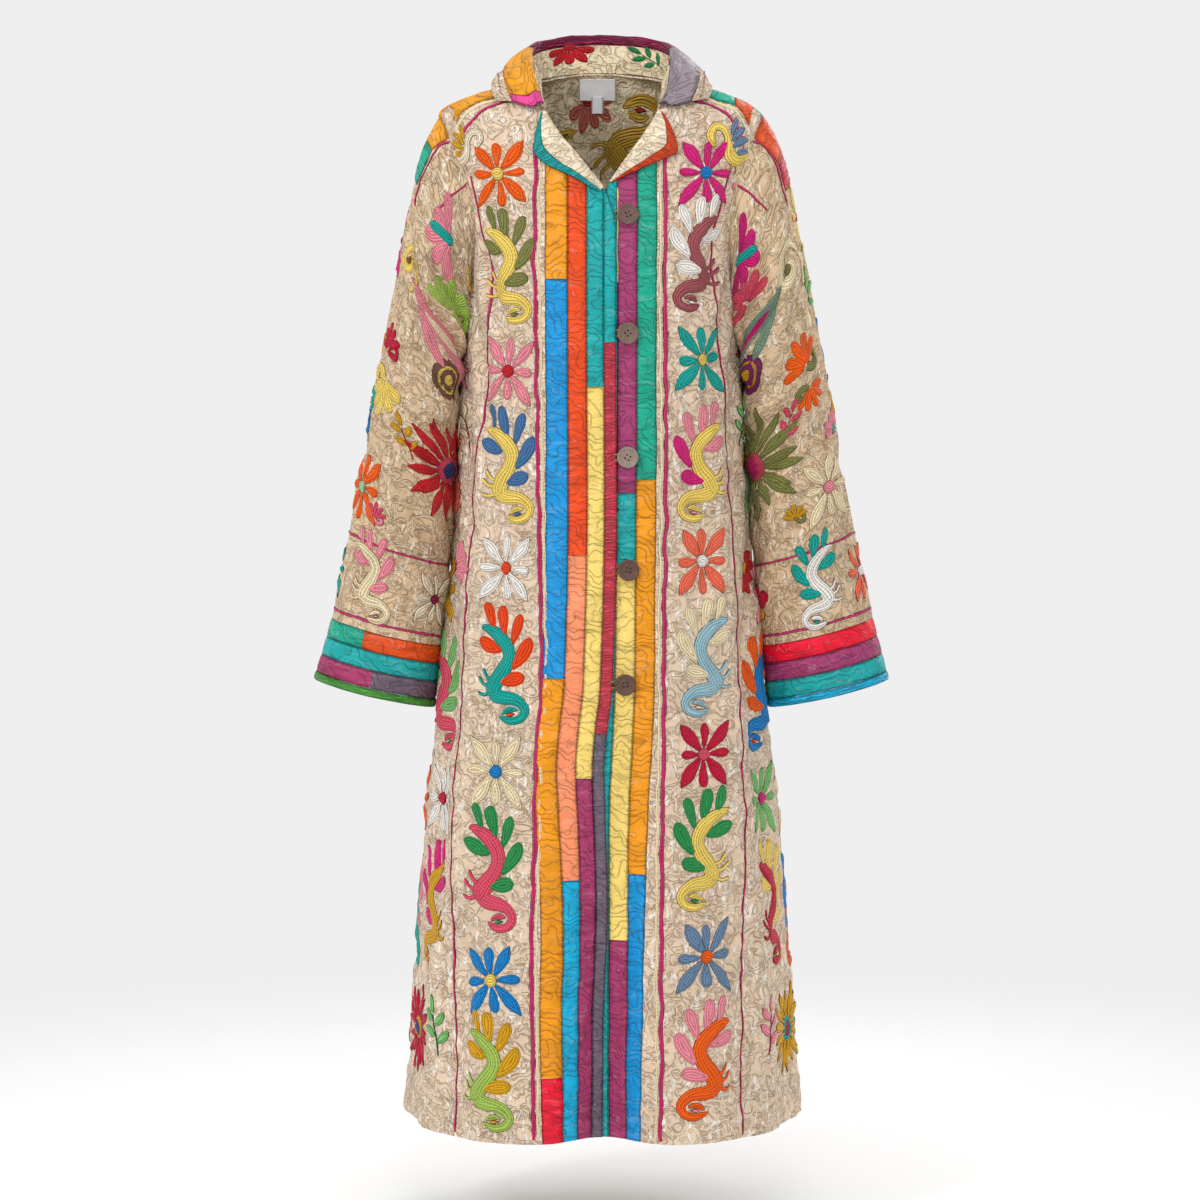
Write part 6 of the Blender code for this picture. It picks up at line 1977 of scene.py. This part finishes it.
RIGHT_SLEEVE_MOTIFS = (
    ("striped", 90, 0.1, "pink teal", 1.12, 36), ("feather", 126, 0.095, "gold olive", 0.66, -30),
    ("fan", 116, 0.228, "lime lime", 1.42, 14), ("crest", 122, 0.338, "pink cream umber yellow", 1.0),
    ("fan", 40, 0.405, "crimson crimson", 0.85, 14), ("fan", 38, 0.455, "yellow yellow", 1.25, 186),
    ("sun", 152, 0.56, "red rose navy", 1.12), ("flower", 30, 0.665, "orange mint", 1.04),
    ("bird", 68, 0.815, "cream pink", 0.78, 8), ("flower", 142, 0.822, "ivory burgundy", 0.78),
    ("spiral", 48, 0.23, "yellow brown", 0.8), ("sprig", 88, 0.545, "gold rose", 0.8, 30),
    ("bird", 345, 0.44, "teal gold", 0.96), ("flower", 345, 0.22, "magenta cream", 1.02),
    ("sun", 268, 0.28, "orange teal burgundy", 0.9), ("bird", 296, 0.63, "rose leaf", 1.0, 0, True),
    ("flower", 232, 0.44, "blue yellow", 0.92), ("flower", 232, 0.68, "coral white", 0.92),
    ("flower", 350, 0.82, "teal orange", 0.8), ("flower", 290, 0.82, "gold magenta", 0.8),
    ("sprig", 222, 0.82, "green leaf", 0.8), ("sprig", 10, 0.56, "blue teal", 0.8, 40),
    ("fan", 60, 0.71, "rose pink", 0.55),
)
LEFT_SLEEVE_MOTIFS = (
    ("striped", 113, 0.078, "magenta teal", 1.14, -46, True),
    ("fan", 120, 0.198, "rose rose", 1.38, -12, True),
    ("crest", 130, 0.318, "greygreen magenta plum gold", 1.0, 0, True),
    ("spiral", 62, 0.225, "cream olive", 1.14), ("fan", 60, 0.42, "orange olive", 1.15, 20),
    ("fan", 62, 0.455, "orange olive", 0.85, 200), ("sun", 152, 0.552, "olive rose magenta", 1.2),
    ("flower", 52, 0.655, "cream pink", 1.04), ("bird", 86, 0.815, "white teal", 0.8, 0, True),
    ("half", 160, 0.845, "crimson gold", 0.92, 40), ("sprig", 18, 0.33, "leaf green", 0.95),
    ("sprig", 98, 0.505, "rose pink", 0.8, -30), ("bird", 340, 0.45, "gold blue", 0.96, 0, True),
    ("flower", 350, 0.18, "yellow red", 1.02), ("sun", 268, 0.28, "crimson gold navy", 0.9),
    ("bird", 296, 0.62, "teal cream", 1.0), ("flower", 232, 0.44, "pink blue", 0.92),
    ("flower", 232, 0.68, "gold teal", 0.92), ("flower", 20, 0.82, "coral white", 0.8),
    ("flower", 290, 0.82, "blue gold", 0.8), ("sprig", 230, 0.82, "pink rose", 0.8),
    ("fan", 100, 0.69, "gold olive", 0.55), ("half", 20, 0.56, "pink teal", 0.7, 30),
)
SLEEVE_RINGS = (0.756, 0.884)
SLEEVE_LINES = (((46, 38, 34, 32, 34), (0.001, 0.022, 0.050, 0.10, 0.15)),
                ((76, 70, 64), (0.005, 0.055, 0.105)))
for side, name, table in ((-1, "right_sleeve", RIGHT_SLEEVE_MOTIFS),
                          (1, "left_sleeve", LEFT_SLEEVE_MOTIFS)):
    embroidery = Stitches(f"{name}_embroidery", on_sleeve(side))
    work(embroidery, at_sleeve(table, side))
    for t in SLEEVE_RINGS:
        pink_line(embroidery, sleeve_line(side, np.linspace(0, 360, 40), np.full(40, t)), 0.0018)
    for angles, levels in SLEEVE_LINES:
        pink_line(embroidery, sleeve_line(side, angles, levels), 0.0019)
    embroidery.sew()

# %% [markdown]
# ## The collar's line, and the stitches along the strips

# %% collar and strip stitching
STAND_LINE_PITCH = 0.0235
FALL_LINE = 6.55


def on_stand(x, y, lift):
    """The stand and the roll above it, with y up from the neck seam in metres."""
    return on_collar(x, y / STAND_LINE_PITCH, lift)


RED, GOLD, GREEN, ROSE = (THREADS[dye] for dye in ("red", "gold", "green", "rose"))
stand_work = Stitches("collar_stand_embroidery", on_stand, 0.0009)
half_flower(Pattern(stand_work, 0.197, 0.043, 0.82, 0), RED, RED, 200, 5, 36)
sprig(Pattern(stand_work, 0.288, 0.024, 0.80, 60), GREEN, GREEN)
half_flower(Pattern(stand_work, 0.115, 0.030, 0.62, 20), GOLD, RED, 160, 5, 36)
sprig(Pattern(stand_work, 0.352, 0.022, 0.70, -30), ROSE, GOLD)
stand_work.sew()
embroidery = Stitches("collar_embroidery", on_collar)
line = [(x, FALL_LINE + 0.10 * math.sin(x * 60)) for x in np.linspace(0.004, 0.456, 60)]
pink_line(embroidery, np.array(line), 0.0019)
embroidery.sew()


STITCH_INSET = 0.0022


def stitch_strips(side, spec):
    """A row of small stitches along each edge of a patchwork strip."""
    name, inner, outer = spec[:3]
    stitches = Stitches(f"{name}_stitching", on_front(side), 0.0004)
    for distance in (inner + STITCH_INSET, outer - STITCH_INSET):
        z = np.linspace(COAT_HEM + 0.004, strip_top(side, distance) - 0.006, 80)
        line = np.stack([side * (edge_run(side, z) + distance), z], axis=-1)
        running_stitch(stitches, line, "cream", 0.0026, 0.0024, 0.00035)
    stitches.sew()


for side, strips in ((-1, RIGHT_STRIPS), (1, LEFT_STRIPS)):
    for spec in strips[1:]:
        stitch_strips(side, spec)

# %% [markdown]
# ## The studio
# The coat floats over a plain pale floor, as in a catalogue picture: a soft light from the upper
# left, one from above, one in front, one behind, and an even white surround. The plain view
# transform shows the dyes as they are.

# %% floor, light and camera
FLOOR_RADIUS = 1.9
FLOOR_DROP = 0.12
SENSOR_MM = 36.0
PICTURE_WIDTH = 1.398


def pale_floor():
    """A round pale floor that fades out at its rim, so that it has no edge against the white."""
    rings, sides = 12, 96
    turns = np.linspace(0, math.tau, sides, False)
    points = [(0.0, 0.0, 0.0)]
    for r in range(1, rings + 1):
        reach = FLOOR_RADIUS * r / rings
        points += [(reach * math.cos(a), reach * math.sin(a), 0.0) for a in turns]
    faces = [(0, 1 + k, 1 + (k + 1) % sides) for k in range(sides)]
    for r in range(rings - 1):
        first, second = 1 + r * sides, 1 + (r + 1) * sides
        faces += [(first + k, second + k, second + (k + 1) % sides, first + (k + 1) % sides)
                  for k in range(sides)]
    mesh = bpy.data.meshes.new("studio_floor")
    mesh.from_pydata(points, [], faces)
    made, shader, w = material("pale_paper", 0.9)
    shader.inputs["Base Color"].default_value = (0.95, 0.95, 0.95, 1.0)
    place = w.node("TexCoord", {}, out=3)
    reach = w.node("VectorMath", {"operation": "LENGTH"}, {0: place}, out=1)
    Wire.plug(w.tree, shader.inputs["Alpha"], (1.0 - reach.step(0.5, 1.8)) * 0.8)
    mesh.materials.append(made)
    floor = bpy.data.objects.new("studio_floor", mesh)
    floor.location = (0.0, 0.0, COAT_HEM - FLOOR_DROP)
    put_in_scene(floor)


def soft_light(name, place, aim, size, power):
    lamp = bpy.data.lights.new(name, "AREA")
    lamp.shape = "RECTANGLE"
    lamp.size, lamp.size_y = size
    lamp.energy = power
    made = bpy.data.objects.new(name, lamp)
    made.location = place
    made.rotation_euler = (Vector(aim) - Vector(place)).to_track_quat("-Z", "Y").to_euler()
    put_in_scene(made)


pale_floor()
soft_light("key", (-2.6, -2.4, 1.9), (0, 0, -0.55), (1.1, 1.1), 46)
soft_light("top", (0.2, -0.8, 2.4), (0, 0, -0.4), (1.4, 1.2), 10)
soft_light("front", (0.1, -3.0, 0.9), (0, 0, -0.1), (0.8, 0.6), 12)
soft_light("back", (1.8, 2.6, 1.4), (0, 0, -0.55), (1.4, 1.4), 40)
world = bpy.data.worlds.new("studio")
bpy.context.scene.world = world
world.use_nodes = True
surround = world.node_tree.nodes["Background"]
surround.inputs["Color"].default_value = (1.0, 1.0, 1.0, 1.0)
surround.inputs["Strength"].default_value = 0.86
bpy.context.scene.view_settings.view_transform = "Standard"

eye, target = Vector((-0.002, -4.5, -0.291)), Vector((-0.002, 0.0, -0.600))
camera_data = bpy.data.cameras.new("camera")
camera_data.sensor_width = SENSOR_MM
camera_data.lens = SENSOR_MM * (target - eye).length / PICTURE_WIDTH
camera = bpy.data.objects.new("camera", camera_data)
camera.location = eye
camera.rotation_euler = (target - eye).to_track_quat("-Z", "Y").to_euler()
bpy.context.scene.camera = put_in_scene(camera)
print("lens:", round(camera_data.lens, 1), "mm")

# %% update the scene
bpy.context.view_layer.update()
